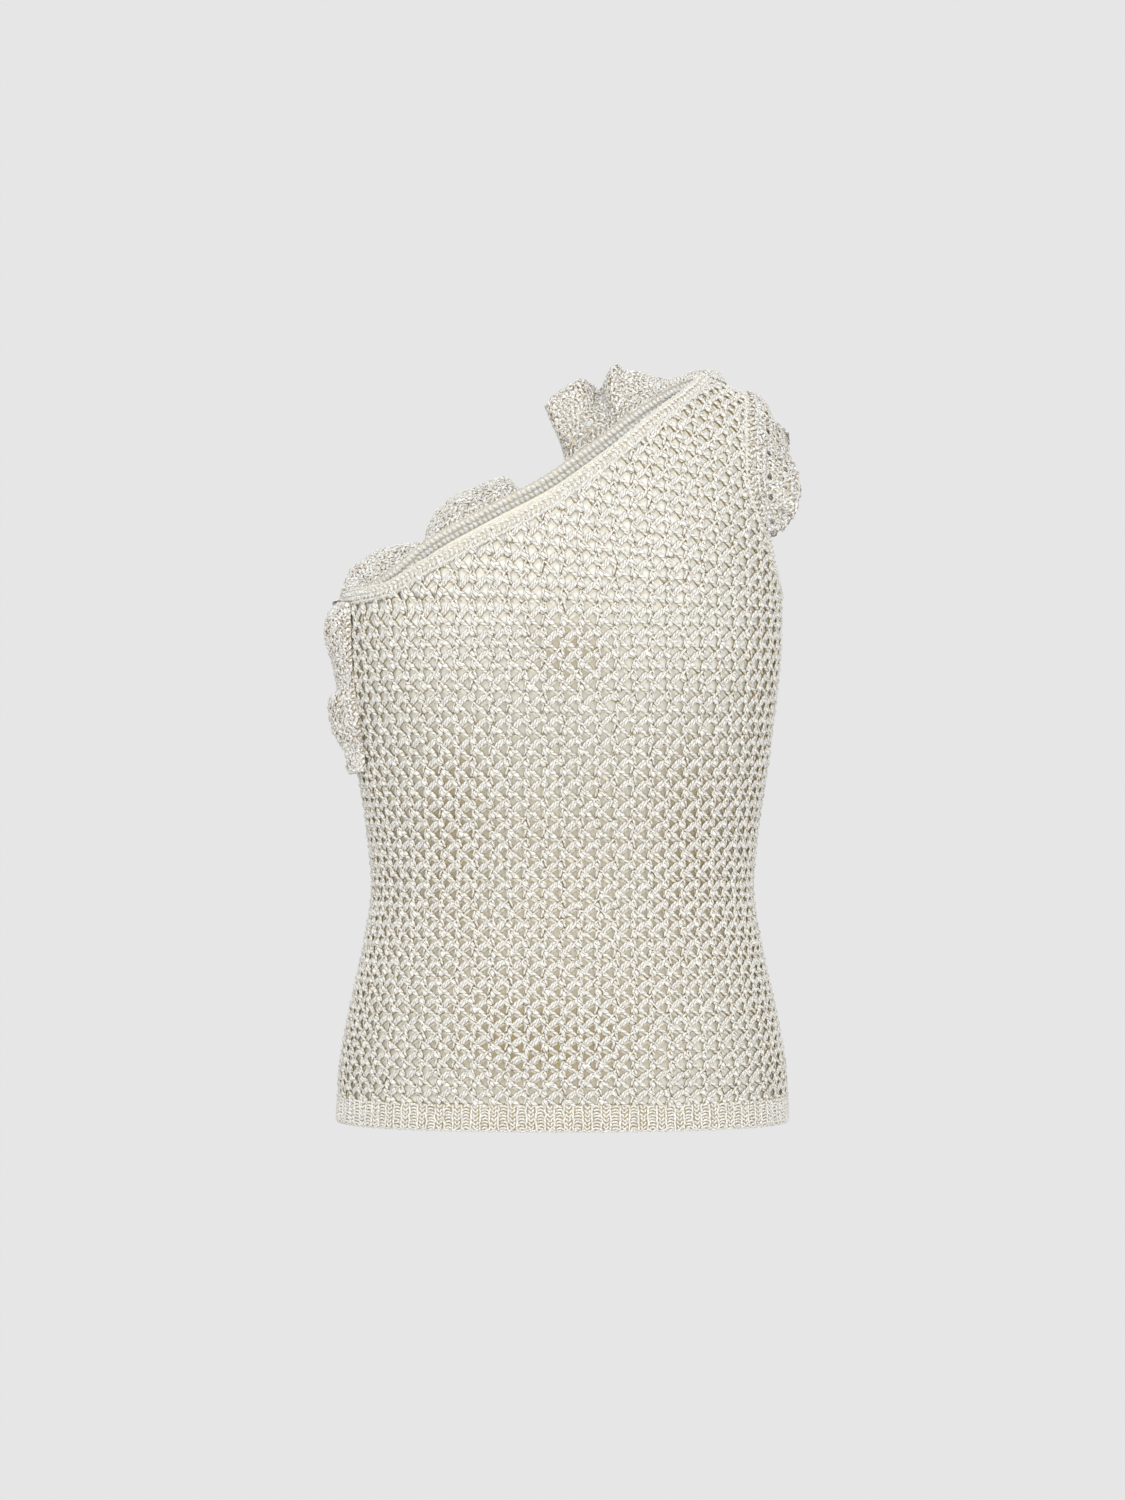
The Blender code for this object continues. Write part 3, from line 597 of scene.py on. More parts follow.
def yarn_tubes(paths, away, radius, lay=PLY_LAY, plies=2, turn=PLY_TURN, start=None, profile=None,
               tuck=0.0, flanks=(0.12, 0.12), edges=1.0, closed=False):
    """Plied yarn along many like paths: points, faces, how deep each point lies and its ply.

    paths and away are arrays of paths by points by xyz. Every path gets its own yarn, thinner
    at both ends unless a profile gives its thickness. start is the angle in degrees at which the
    plies begin. tuck is how deep each point of a path lies, flanks are how deep the yarn's left
    and right sides lie, and edges is how deep it does where it meets the cloth, all as shares of
    the darkest place; the material paints the deeper places darker, as painted shade. A closed
    yarn has a back as well.
    """
    count, length = paths.shape[:2]
    tangent = unit(np.gradient(paths, axis=1))
    across = unit(np.cross(tangent, away))
    out = np.cross(across, tangent)
    travelled = np.linspace(0, 1, length)[None, :]
    if profile is None:
        profile = 0.80 + 0.20 * np.sin(math.pi * travelled)
    thick = np.broadcast_to(np.asarray(radius, float), (count,))[:, None] * profile
    start = rng.uniform(-50, 20, count) if start is None else np.full(count, start)
    section = np.array(YARN_SECTION)
    corners = len(section)
    facing = np.array([edges, flanks[0], 0.0, flanks[1], edges])
    run = np.linalg.norm(np.diff(paths, axis=1), axis=2)
    run = np.concatenate([np.zeros((count, 1)), np.cumsum(run, axis=1)], 1)
    winding = (run / PLY_LENGTH + rng.uniform(0, 1, (count, 1)))[..., None] + 0.5 * section[:, 0]
    all_points, all_depths = [], []
    for ply in range(plies):
        angle = np.radians(start[:, None] + turn * travelled) + ply * 2 * math.pi / plies
        offset = (lay if plies > 1 else 0.0) * thick / np.max(thick)
        middle = paths + across * (np.cos(angle) * offset)[..., None]
        middle = middle + out * (np.sin(angle) * offset)[..., None]
        ring = middle[:, :, None] + thick[:, :, None, None] * (
            across[:, :, None] * section[:, :1] + out[:, :, None] * section[:, 1:]
        )
        # Painted shade where a ply turns in under the other one.
        under_other_ply = np.clip(-np.sin(angle), 0, 1) * 0.25
        depth = facing + under_other_ply[..., None]
        depth = depth + np.broadcast_to(tuck, (length,))[:, None]
        all_points.append(ring)
        all_depths.append(depth)
    points = np.concatenate(all_points)
    depths = np.concatenate(all_depths)
    tubes = len(points)
    first = (np.arange(tubes) * length)[:, None, None] + np.arange(length - 1)[None, :, None]
    here = np.arange(corners if closed else corners - 1)
    following = (here + 1) % corners
    faces = np.stack([
        first * corners + here,
        first * corners + following,
        (first + 1) * corners + following,
        (first + 1) * corners + here,
    ], -1)
    windings = np.concatenate([winding] * plies)
    return points.reshape(-1, 3), faces.reshape(-1, 4), depths.reshape(-1), windings.reshape(-1)


def yarn_piece(name, parts, yarn):
    """One piece of many yarns, riding on the body."""
    starts = np.cumsum([0] + [len(part[0]) for part in parts[:-1]])
    faces = np.concatenate([part[1] + start for part, start in zip(parts, starts)])
    points, depths, windings = (np.concatenate([part[i] for part in parts]) for i in (0, 2, 3))
    return put_on(piece_mesh(name, points, faces, {"depth": depths, "ply": windings}), yarn)


def cotton_yarn(name, light, shade_and_fleck, depths=(0.30, 1.0), ply_shade=0.0, fleck_share=1.3,
                fleck_size=1.3):
    """Spun and plied cotton in its natural off-white.

    It looks matt, with fine flecks of loose fibre and slow patches of tone. A browner painted
    shade lies in the grooves between plies, where a yarn goes in under its neighbours and where
    it meets the cloth, which tells one stitch from the next. light is the tone of its crown, and
    the darker tone after it that of the painted shade and of the flecks. The depths given are
    those that the painted shade runs between, and ply_shade its share in the grooves. Flecks have
    a share and a size in millimetres, coarser than real fibres, which are too fine to show. Cotton
    has the default IOR and a roughness of 0.8 to 0.9, with a slight sheen.
    """
    made = bpy.data.materials.new(name)
    made.use_nodes = True
    tree = made.node_tree
    tree.nodes.clear()
    place = add_node(tree, "ShaderNodeTexCoord").outputs["Object"]
    depth = add_node(tree, "ShaderNodeAttribute", attribute_name="depth").outputs["Fac"]
    fibre = add_node(tree, "ShaderNodeTexNoise", {"Vector": place},
                     Scale=1 / (fleck_size * MM), Detail=2.0)
    patch_size = 16
    mottle = add_node(tree, "ShaderNodeTexNoise", {"Vector": place},
                      Scale=1 / (patch_size * MM), Detail=2.0)
    # Painted shade: darker where the yarn lies deep, over the range of depths given.
    deep = add_node(tree, "ShaderNodeMapRange", {"Value": depth})
    deep.inputs["From Min"].default_value = depths[0]
    deep.inputs["From Max"].default_value = depths[1]
    fleck = add_node(tree, "ShaderNodeMath", {0: fibre.outputs["Fac"]}, operation="MULTIPLY_ADD")
    plain_level = 0.47          # of the noise, below which a place has no fleck
    fleck.inputs[1].default_value = fleck_share
    fleck.inputs[2].default_value = -plain_level * fleck_share
    soft = add_node(tree, "ShaderNodeMath", {0: mottle.outputs["Fac"], 1: fleck.outputs["Value"]},
                    operation="MULTIPLY_ADD")
    soft.inputs[1].default_value = 0.12         # share of the patches
    # Painted shade in the grooves between the plies.
    ply = add_node(tree, "ShaderNodeAttribute", attribute_name="ply").outputs["Fac"]
    round_ply = add_node(tree, "ShaderNodeMath", {0: ply}, operation="PINGPONG")
    round_ply.inputs[1].default_value = 0.5
    groove = add_node(tree, "ShaderNodeMapRange", {"Value": round_ply.outputs["Value"]})
    groove.inputs["From Min"].default_value = 0.11      # half a groove's width, in plies
    groove.inputs["From Max"].default_value = 0.0
    groove.inputs["To Max"].default_value = ply_shade
    shaded = add_node(tree, "ShaderNodeMath",
                      {0: deep.outputs["Result"], 1: groove.outputs["Result"]}, operation="ADD")
    amount = add_node(tree, "ShaderNodeMath",
                      {0: shaded.outputs["Value"], 1: soft.outputs["Value"]},
                      operation="ADD", use_clamp=True)
    tone = add_node(tree, "ShaderNodeMix", {"Factor": amount.outputs["Value"]}, data_type="RGBA")
    tone.inputs["A"].default_value = linear(light)
    tone.inputs["B"].default_value = linear(shade_and_fleck)
    relief = add_node(tree, "ShaderNodeBump", {"Height": fibre.outputs["Fac"]},
                      Strength=0.25, Distance=0.0003)
    shader = add_node(tree, "ShaderNodeBsdfPrincipled",
                      {"Base Color": tone.outputs["Result"], "Normal": relief.outputs["Normal"]},
                      Roughness=0.82, Metallic=0.0)
    shader.inputs["Sheen Weight"].default_value = 0.2
    tree.links.new(shader.outputs["BSDF"],
                   add_node(tree, "ShaderNodeOutputMaterial").inputs["Surface"])
    return made


def row_sway(wale, row):
    """Slow unevenness of a hand-knitted cloth, in pitches and in rows."""
    aside = 0.035 * np.sin(wale * 0.9 + row * 0.25) + 0.025 * np.sin(row * 0.66 - wale * 0.37)
    rise = 0.06 * np.sin(wale * 0.61 - row * 0.16) + 0.04 * np.sin(wale * 1.7 + row * 0.4)
    return aside, rise


def row_shapes(side, row):
    """What one row is knitted of: wales, courses, yarn thickness and how the yarn is spun."""
    reach = WALES if side == "back" else WALES - 1
    wales = np.arange(-reach, reach + 1)
    ends = np.arange(-WALES, WALES + 1)
    step = WALE_STEP if row % 2 else -WALE_STEP
    shapes = []
    for mirror in (1, -1):
        across = np.array(LEG.across) * mirror - 2 * step * np.abs(LEG.up) * LEG_LEAN
        flanks = LEG_FLANKS if (mirror > 0) == (side == "back") else LEG_FLANKS[::-1]
        shapes.append((wales + step, across, LEG, LEG_RADIUS, {"plies": 1, "flanks": flanks}))
    lean = -2 * step * np.abs(HEAD.up) * HEAD_LEAN
    shapes.append((wales + step, lean, HEAD, HEAD_RADIUS, {"plies": 1, "flanks": HEAD_FLANKS}))
    span = 1 - 2 * abs(step) - 2 * STRAND_END
    along = abs(step) + STRAND_END + span * np.array(STRAND.across)
    starts, toward = (ends[:-1], 1) if step > 0 else (ends[1:], -1)
    twist = RIGHT_STRAND if toward > 0 else LEFT_STRAND
    shapes.append((starts, along * toward, STRAND, STRAND_RADIUS, twist))
    return shapes


def within(limits, turn, lift):
    """Which places lie between a panel's right edge and its left one."""
    lifts, right, left = limits
    return (turn >= np.interp(lift, lifts, right)) & (turn <= np.interp(lift, lifts, left))


def knit_stitches(side, form, limits):
    """Tubes of all stitches of a panel, in two halves, the lower rows and the upper ones."""
    halves = ([], [])
    for row in range(1, int(form.row_numbers[-1]) + 1):
        for starts, across, course, radius, spun in row_shapes(side, row):
            count = len(starts)
            wale = starts[:, None] + across + rng.normal(0, WALE_SCATTER, (count, 1))
            number = row + np.array(course.up) + rng.normal(0, ROW_SCATTER, (count, 1))
            number = number + rng.normal(0, POINT_SCATTER, (count, len(course.up)))
            sway, rise = row_sway(wale, number)
            wale = wale + sway
            lift = form.lift(number + rise)
            stand = course.out * rng.uniform(0.85, 1.15, (count, 1))
            stand = stand + rng.normal(0, STAND_SCATTER, (count, 1))
            middle_lift = lift.mean(axis=1)
            kept = within(limits, form.turn(wale, lift).mean(axis=1), middle_lift)
            if not kept.any():
                continue
            points, away = form.place(wale[kept], lift[kept], stand[kept])
            radii = radius * rng.uniform(0.93, 1.07, kept.sum())
            radii = radii * np.interp(middle_lift[kept], SPREAD_LIFTS, SPREAD_SHARES)
            tubes = yarn_tubes(points, away, radii, profile=np.array(course.thick),
                               tuck=course.tuck, **spun)
            halves[int(form.lift(row) > SPLIT_LIFT)].append(tubes)
    return halves


def knit_web(form, limits):
    """The back loops of the knit, coloured as painted shade: a net of wale strips and slanting
    bars between them.
    """
    half_strip = 0.22           # in pitches
    strip_out = (-1.0, -0.4, -1.0)          # of its edges and middle, from the cloth's middle
    strip_depth = (0.45, 1.0, 0.45)         # the middle is painted darkest, as shade under the stitches
    wales = np.arange(-WALES, WALES + 1)
    numbers = np.arange(0, int(form.row_numbers[-1]) + 1.01, 0.5)
    whole = np.arange(len(numbers)) % 2 == 0
    step = np.where(whole, np.where(numbers % 2 == 1, 1.0, -1.0), 0.0)
    edges = np.array([-half_strip, 0.0, half_strip])
    wale = wales[None, :, None] + (step * WALE_STEP)[:, None, None] + edges
    number = np.broadcast_to(numbers[:, None, None], wale.shape)
    sway, rise = row_sway(wale, number)
    wale, lift = wale + sway, form.lift(number + rise)
    out = np.broadcast_to(np.array(strip_out), wale.shape)
    points, _ = form.place(wale, lift, out)
    inside = within(limits, form.turn(wale, lift), lift)
    ids = np.arange(wale.size).reshape(wale.shape)
    faces = []
    for edge in (0, 1):
        faces.append(np.stack([ids[:-1, :, edge], ids[:-1, :, edge + 1],
                               ids[1:, :, edge + 1], ids[1:, :, edge]], -1).reshape(-1, 4))
    for level in range(2, len(numbers)):
        if step[level] > 0:
            low, high = ids[level - 1:level + 1, :-1, 2], ids[level - 2:level, 1:, 0]
        elif step[level] < 0:
            high, low = ids[level - 1:level + 1, 1:, 0], ids[level - 2:level, :-1, 2]
        else:
            continue
        faces.append(np.stack([high[0], high[1], low[1], low[0]], -1).reshape(-1, 4))
    faces = np.concatenate(faces)
    kept = inside.reshape(-1)[faces].all(axis=1)
    depth = np.broadcast_to(np.array(strip_depth), wale.shape).reshape(-1)
    return points.reshape(-1, 3), faces[kept], depth


# Loosely plied, so that every stitch shows its grooves in painted shade. The back loops are
# coloured darker, as painted shade.
knit_yarn = cotton_yarn("combed_cotton_yarn", "#f0f3f5", "#705f35", depths=(0.40, 1.15),
                        ply_shade=0.8, fleck_share=1.5)
shaded_web_yarn = cotton_yarn("combed_cotton_back_loops_painted_shade", "#ece9e0", "#96875f", depths=(0.45, 1.2))
for side_name in ("back", "front"):
    knit_form = KnitForm(side_name)
    edge_lifts = np.linspace(HEM_HEIGHT - YOKE_HEIGHT, SHOULDER_ARC, EDGE_POINTS)
    right_edge, left_edge = panel_limits(side_name, NECK_BAND_WIDTH - NECK_TUCK,
                                         ARM_BAND_WIDTH - ARM_TUCK, edge_lifts)
    edge_limits = (edge_lifts, right_edge - SEAM_REACH, left_edge + SEAM_REACH)
    points, faces, depths = knit_web(knit_form, edge_limits)
    web = piece_mesh("eyelet_web_" + side_name, points, faces, {"depth": depths})
    put_on(web, shaded_web_yarn, replaced=side_name + "_panel")
    for label, parts in zip(("lower", "upper"), knit_stitches(side_name, knit_form, edge_limits)):
        yarn_piece(f"stitches_{side_name}_{label}", parts, knit_yarn)

# ---- Bands of the neckline and armhole ---------------------------------------------------------
# Close crochet stitches over a turned-in edge, two rows round the neck and one round the armhole,
# between a corded edge and a scalloped chain where they meet the knit. Slanted stitches cover
# their inside, which shows where the front of the neckline stands higher than the back.
BAND_BASE = 1.9                 # thickness of the cloth under the stitches
BAND_ROW = 3.7
BAND_STITCH = 4.0               # from stitch to stitch
FIRST_ROW = 2.9                 # from the edge to the middle of the first row
STROKE_TALL = 2.9
STROKE_LEAN = 1.9
STROKE_RADIUS = 1.65
STROKE_STAND = 0.5              # out of the cloth
INNER_PITCH = 4.2               # of the slanted stitches on the inside
INNER_TALL = 4.4
INNER_LEAN = -1.2
INNER_RADIUS = 1.8
INNER_STAND = 0.3
INNER_FROM = 0.8                # from the edge, where they begin
INNER_SPREAD = 1.08             # from row to row, in heights of a stitch
SCALLOP_PERIOD = 11.0
SCALLOP_RISE = 0.8
SCALLOP_RADIUS = 0.95
SCALLOP_INSET = 0.9             # from the knit's side of the band
SCALLOP_STAND = 0.55
EDGE_CORD_RADIUS = 0.85
EDGE_CORD_STAND = 0.2
ROPE_LENGTH = 12.0              # of the lengths that a plain rope is laid in
ROPE_LAY = 5.5                  # length of half a turn of its plies
STRIP_LINES = 6                 # lines beside an edge that a strip is placed between


class StripForm:
    """Places on a strip beside an edge, by millimetres along it, in from it and out of it."""

    def __init__(self, side, edge, width):
        self.side = side
        self.insets = np.linspace(-0.4, width + 1.5, STRIP_LINES)
        lines = [inset(side, edge, w) for w in self.insets]
        self.turns = np.array([line[0] for line in lines])
        self.lifts = np.array([line[1] for line in lines])
        self.travelled = lengths_along(torso(side, *edge))
        self.length = self.travelled[-1]

    def place(self, along, inward, out):
        row = np.interp(inward, self.insets, np.arange(STRIP_LINES))
        column = np.interp(along, self.travelled, np.arange(len(self.travelled)))
        turn, lift = read_grid(self.turns, row, column), read_grid(self.lifts, row, column)
        return off_cloth(self.side, turn, lift, out)


def closed_strip(form, section, step):
    """A rounded strip: the closed section, of places in and out, run along a form."""
    stations = np.linspace(0.2, form.length - 0.2, int(form.length / step) + 1)
    section = np.array(section)
    along, across = np.meshgrid(stations, section[:, 0], indexing="ij")
    _, out = np.meshgrid(stations, section[:, 1], indexing="ij")
    points, _ = form.place(along, across, out)
    rows, columns = along.shape
    here = np.arange(columns)
    following = (here + 1) % columns
    first = np.arange(rows - 1)[:, None] * columns
    faces = np.stack([first + here, first + following, first + columns + following,
                      first + columns + here], -1).reshape(-1, 4)
    caps = []
    for start in (0, (rows - 1) * columns):
        for i in range(1, columns // 2):
            caps.append([start + i - 1, start + i, start + columns - 1 - i, start + columns - i])
    return points.reshape(-1, 3), np.concatenate([faces, np.array(caps)])


def strokes_along(form, pitch, inward, lean, height, out, radius, face=1, edges=0.8):
    """A row of short slanted stitches on one face of a strip, uneven as by hand.

    lean is how far the top of each one lies past its foot, along the strip.
    """
    count = int(form.length / pitch)
    along = (np.arange(count) + 0.5) * pitch + rng.normal(0, 0.2, count)
    shares = np.linspace(-0.5, 0.5, 4)
    bulge = np.cos(shares * math.pi)
    lean = lean + rng.normal(0, 0.25, count)
    at = along[:, None] + lean[:, None] * shares
    into = inward + height * shares[None, :] * rng.uniform(0.9, 1.1, (count, 1))
    stand = face * (out + radius * (bulge[None, :] * 1.1 - 0.55)) + np.zeros((count, 1))
    points, away = form.place(np.clip(at, 0.1, form.length - 0.1), into, stand)
    radii = radius * rng.uniform(0.9, 1.1, count)
    return yarn_tubes(points, away * face, radii, plies=1, edges=edges)


def rope_along(form, step, inward, out, radius, wave=0.0, period=1.0, closed=False):
    """One long two-ply rope along a strip. A wave is how far it bends aside in every period."""
    piece_length = 2 * period if wave else ROPE_LENGTH
    count = max(int(round(form.length / piece_length)), 1)
    piece_length = form.length / count
    segments = max(int(piece_length / step), 2)
    along = np.arange(count)[:, None] * piece_length + np.linspace(0, piece_length, segments + 1)
    into = inward - wave * np.abs(np.sin(math.pi * along / period))
    points, away = form.place(along, into, out + 0 * along)
    turn = round(piece_length / ROPE_LAY) * 180.0
    return yarn_tubes(points, away, np.full(count, radius), turn=turn, start=0.0,
                      edges=0.1 if closed else 0.5, closed=closed)


def band(name, side, edge, width, rows):
    """One half of a band: its ground, folded over the edge, and the stitches on both faces."""
    form = StripForm(side, edge, width)
    half = BAND_BASE / 2
    section = [
        (0.1, -half * 0.7), (-0.2, 0), (0.1, half * 0.7), (0.8, half), (width - 0.6, half),
        (width, half * 0.6), (width, -half * 0.6), (width - 0.6, -half), (0.8, -half),
        (0.4, -half),
    ]
    piece = piece_mesh(name + "_cloth", *closed_strip(form, section, step=3.0))
    parts = [strokes_along(form, BAND_STITCH, FIRST_ROW + BAND_ROW * row,
                           STROKE_LEAN if row % 2 else -STROKE_LEAN, STROKE_TALL,
                           half + STROKE_STAND, STROKE_RADIUS) for row in range(rows)]
    inner_parts = [strokes_along(form, INNER_PITCH,
                                 INNER_FROM + INNER_TALL * (row + 0.5) * INNER_SPREAD, INNER_LEAN,
                                 INNER_TALL, half + INNER_STAND, INNER_RADIUS, face=-1,
                                 edges=0.15) for row in range(rows)]
    parts.append(rope_along(form, step=1.9, inward=width - SCALLOP_INSET,
                            out=half + SCALLOP_STAND, radius=SCALLOP_RADIUS,
                            wave=SCALLOP_RISE, period=SCALLOP_PERIOD))
    parts.append(rope_along(form, step=2.0, inward=0.0, out=EDGE_CORD_STAND,
                            radius=EDGE_CORD_RADIUS, closed=True))
    stitches = yarn_piece(name + "_stitches", parts, trim_yarn)
    inner_stitches = yarn_piece(name + "_inner_stitches", inner_parts, painted_light_inner_yarn)
    put_on(piece, shaded_trim_ground, replaced=name)


# Tighter and smoother than the knit's. The inside is painted paler, as painted light, since it
# lies in shade, and the ground is coloured darker, as painted shade between the stitches.
trim_yarn = cotton_yarn("crocheted_cotton_yarn", "#ebeef0", "#7b6b45", depths=(0.36, 1.2),
                        ply_shade=0.5, fleck_share=1.0)
painted_light_inner_yarn = cotton_yarn("crocheted_cotton_inside_painted_light", "#f1f5fa", "#9a8f78", depths=(0.36, 1.2),
                         ply_shade=0.4, fleck_share=0.8)
shaded_trim_ground = cotton_yarn("crochet_ground_painted_shade", "#dad4c4", "#a5977a")
for side_name in ("back", "front"):
    band("neck_band_" + side_name, side_name, neckline(side_name), NECK_BAND_WIDTH, rows=2)
    band("armhole_band_" + side_name, side_name, armhole(side_name), ARM_BAND_WIDTH, rows=1)

# ---- Hem rib -----------------------------------------------------------------------------------
# A folded rib of the same yarn, knitted on below the panels. Ladders of curved stitches run up
# it between two raised cords each, with a chain of V stitches between one ladder and the next,
# and its lower edge is cast off in a cord.
RIB_WALL = 2.6
RIB_FACE = RIB_WALL / 2 - 0.3   # of the ground that the stitches lie on
RIB_PITCH = 13.9                # from ladder to ladder
CHAIN_AT = 0.17                 # middle of a chain of V stitches, as a share of the pitch
CHAIN_HALF = 2.0                # half width of a V stitch
CHAIN_TALL = 2.6
CHAIN_STEP = 3.1
LADDER_AT = 0.67
LADDER_HALF = 2.3
LADDER_STEP = 2.3
LADDER_BOW = 1.0                # how far the middle of a curved stitch rises
RIB_YARN = 0.82                 # radius
CORD_AT = 3.5                   # of the upright cords, to either side of a ladder's middle
CORD_RADIUS = 0.95
CORD_POINTS = 9


class HemForm:
    """Places on the rib, by millimetres along it from the right seam, up it and out of it."""

    def __init__(self, side):
        self.side = side
        self.low = HEM_HEIGHT - YOKE_HEIGHT
        self.turns = np.linspace(0, math.pi, CURVE_POINTS)
        self.travelled = lengths_along(torso(side, self.turns, np.full(CURVE_POINTS, self.low)))
        self.length = self.travelled[-1]

    def place(self, along, up, out):
        turn = np.interp(along, self.travelled, self.turns)
        return off_cloth(self.side, turn, self.low + up, out)


def hem_rib(side):
    """One half of the rib: its ground, the ladders, chains and cords on it, and the lower edge."""
    form = HemForm(side)
    section = [
        (0.6, -RIB_FACE), (0.2, 0.0), (0.6, RIB_FACE), (RIB_HEIGHT - 0.4, RIB_FACE),
        (RIB_HEIGHT, 0.3), (RIB_HEIGHT - 0.4, -RIB_FACE),
    ]
    piece = piece_mesh(f"hem_rib_{side}_cloth", *closed_strip(form, section, step=3.5))
    ribs = round(form.length / RIB_PITCH)
    pitch = form.length / ribs
    chains = (np.arange(ribs)[:, None] + CHAIN_AT) * pitch
    ladders = (np.arange(ribs)[:, None] + LADDER_AT) * pitch
    parts = []

    def lay(along, up, stand, radius):
        """Lays one short yarn in every rib."""
        along = np.clip(along, 0.2, form.length - 0.2)
        points, away = form.place(along, up, RIB_FACE + stand + 0 * along)
        radii = radius * rng.uniform(0.92, 1.08, ribs)
        parts.append(yarn_tubes(points, away, radii, plies=1, edges=0.4))

    for level in np.arange(1.2, RIB_HEIGHT - 1.0, CHAIN_STEP):
        for mirror in (-1, 1):
            reach = np.array([1.0, 0.6, 0.1]) * CHAIN_HALF * mirror
            along = chains + reach + rng.normal(0, 0.15, (ribs, 1))
            up = level + np.array([1.0, 0.5, 0.0]) * CHAIN_TALL + rng.normal(0, 0.15, (ribs, 1))
            lay(along, up, np.array([0.1, 0.7, 0.1]), RIB_YARN)
    reach = np.linspace(-1, 1, 5)
    for level in np.arange(1.6, RIB_HEIGHT - 1.5, LADDER_STEP):
        along = ladders + LADDER_HALF * reach
        along = along + rng.normal(0, 0.35, (ribs, 1))
        up = level + LADDER_BOW * (1 - reach ** 2) + rng.normal(0, 0.12, (ribs, 1))
        lay(along, up, 0.75 * (1 - reach ** 4), RIB_YARN)
    rise = np.linspace(0.8, RIB_HEIGHT - 0.6, CORD_POINTS)
    ripple = 0.25 * (-1.0) ** np.arange(CORD_POINTS)
    for mirror in (-1, 1):
        along = ladders + mirror * CORD_AT
        along = along + rng.normal(0, 0.4, (ribs, CORD_POINTS))
        lay(along, rise + 0 * along, 0.5 + ripple, CORD_RADIUS)
    parts.append(rope_along(form, step=2.3, inward=0.5, out=0.3, radius=CORD_RADIUS,
                            closed=True))
    stitches = yarn_piece(f"hem_rib_{side}_stitches", parts, rib_yarn)
    put_on(piece, shaded_rib_ground, replaced="hem_rib_" + side)


# Pale crowns over a ground that lies deep in the folds of the rib, coloured darker as painted
# shade.
rib_yarn = cotton_yarn("ribbed_cotton_yarn", "#f8fafb", "#75653f", depths=(0.36, 1.1),
                       ply_shade=0.5, fleck_share=1.5)
shaded_rib_ground = cotton_yarn("ribbed_cotton_ground_painted_shade", "#a89b79", "#6f6345")
for side_name in ("back", "front"):
    hem_rib(side_name)

# ---- Ruffles -----------------------------------------------------------------------------------
# Crochet frills of upright posts with a loop over each, worked row on row with more stitches in
# every row, so that they flare into folds. Eyelets are left in the second row from either edge,
# and a chain of small lobes runs along the rim. Each is worked on to the cloth that carries it.
BAND_WALL = 3.2
RUFFLE_WALL = 2.2
LINE_POINTS = 400
LINE_EASE = 4.0                 # over which the line that a ruffle is sewn on is rounded off
RUFFLE_STEP = 5.0               # along the sewn line, from column to column
EYELET_EVERY = 4                # columns
LOW_EYELETS = (2, 1)            # the row that they lie in, and their first column
HIGH_EYELETS = (-2, 3)
EYELET_REACH = (3.0, 2.8)       # half width and half height of an eyelet's opening
RING_GAP = 0.4                  # from the opening to the ring of yarn round it
RING_STAND = 0.35
RING_RADIUS = 1.0
POST_PITCH = 4.5
POST_ROW = 5.8
POST_RADIUS = 1.8
POST_LEAN = 0.9
LEAN_SCATTER = 1.2
LOOP_RADIUS = 1.4
LOOP_REACH = 0.66               # half width of a loop, in pitches of the posts
LOBE = 9.0                      # length of a scallop of the rim
LOBE_DEPTH = 2.6
RIM_CORDS = (0.5, -1.9)         # how far the two cords of the rim lie past it
RIM_RADIUS = 1.1
RIM_TURN = 500.0                # degrees that their plies wind in one lobe
FINE_PITCH = 0.9
FINE_ROWS = 30
# A fold's place along the sewn line, how far it reaches, how its root and its rim lean in degrees
# (0 carries on in the plane of the cloth, 90 stands straight out of it and 180 hangs back down),
# and how far its rim sways along the line, where it does.
Fold = namedtuple("Fold", "place reach root_lean rim_lean sway", defaults=(0,))
NECK_FOLDS = (
    Fold(0, 10, 164, 178),              # falls forward over the strap
    Fold(20, 28, 128, 172),
    Fold(42, 46, 86, 148),
    Fold(62, 50, 74, 138),
    Fold(78, 50, 62, 122),
    Fold(92, 52, 36, 90),
    Fold(104, 52, 22, 66, -12),         # first of two tall folds by the strap
    Fold(116, 52, 42, 76),
    Fold(128, 54, 10, 48, -10),
    Fold(140, 55, 6, 44, -2),           # second tall fold, leaning out over the neckline
    Fold(150, 52, 4, 40, -2),
    Fold(166, 54, 84, 132),
    Fold(182, 52, 100, 150),            # trough: the neckline shows bare
    Fold(203, 52, 92, 140),
    Fold(212, 52, 50, 102),
    Fold(228, 52, 42, 102),             # middle fold
    Fold(246, 52, 40, 98),
    Fold(262, 52, 44, 106),
    Fold(272, 50, 54, 118),
    Fold(285, 50, 78, 136),
    Fold(299, 50, 60, 122),             # last fold, by the left underarm
    Fold(314, 48, 50, 108),
    Fold(330, 48, 50, 110),
    Fold(346, 44, 64, 126),
    Fold(362, 30, 84, 138),
    Fold(382, 17, 90, 132),
    Fold(402, 8, 90, 110),
)
SIDE_FOLDS = (
    Fold(0, 14, 140, 186),
    Fold(9, 28, 140, 190),
    Fold(28, 38, 150, 194),
    Fold(48, 38, 158, 204),
    Fold(64, 38, 160, 206),
    Fold(72, 40, 146, 196),
    Fold(94, 38, 150, 190),
    Fold(106, 34, 154, 196),
    Fold(112, 24, 150, 190),
    Fold(130, 22, 148, 186),
)
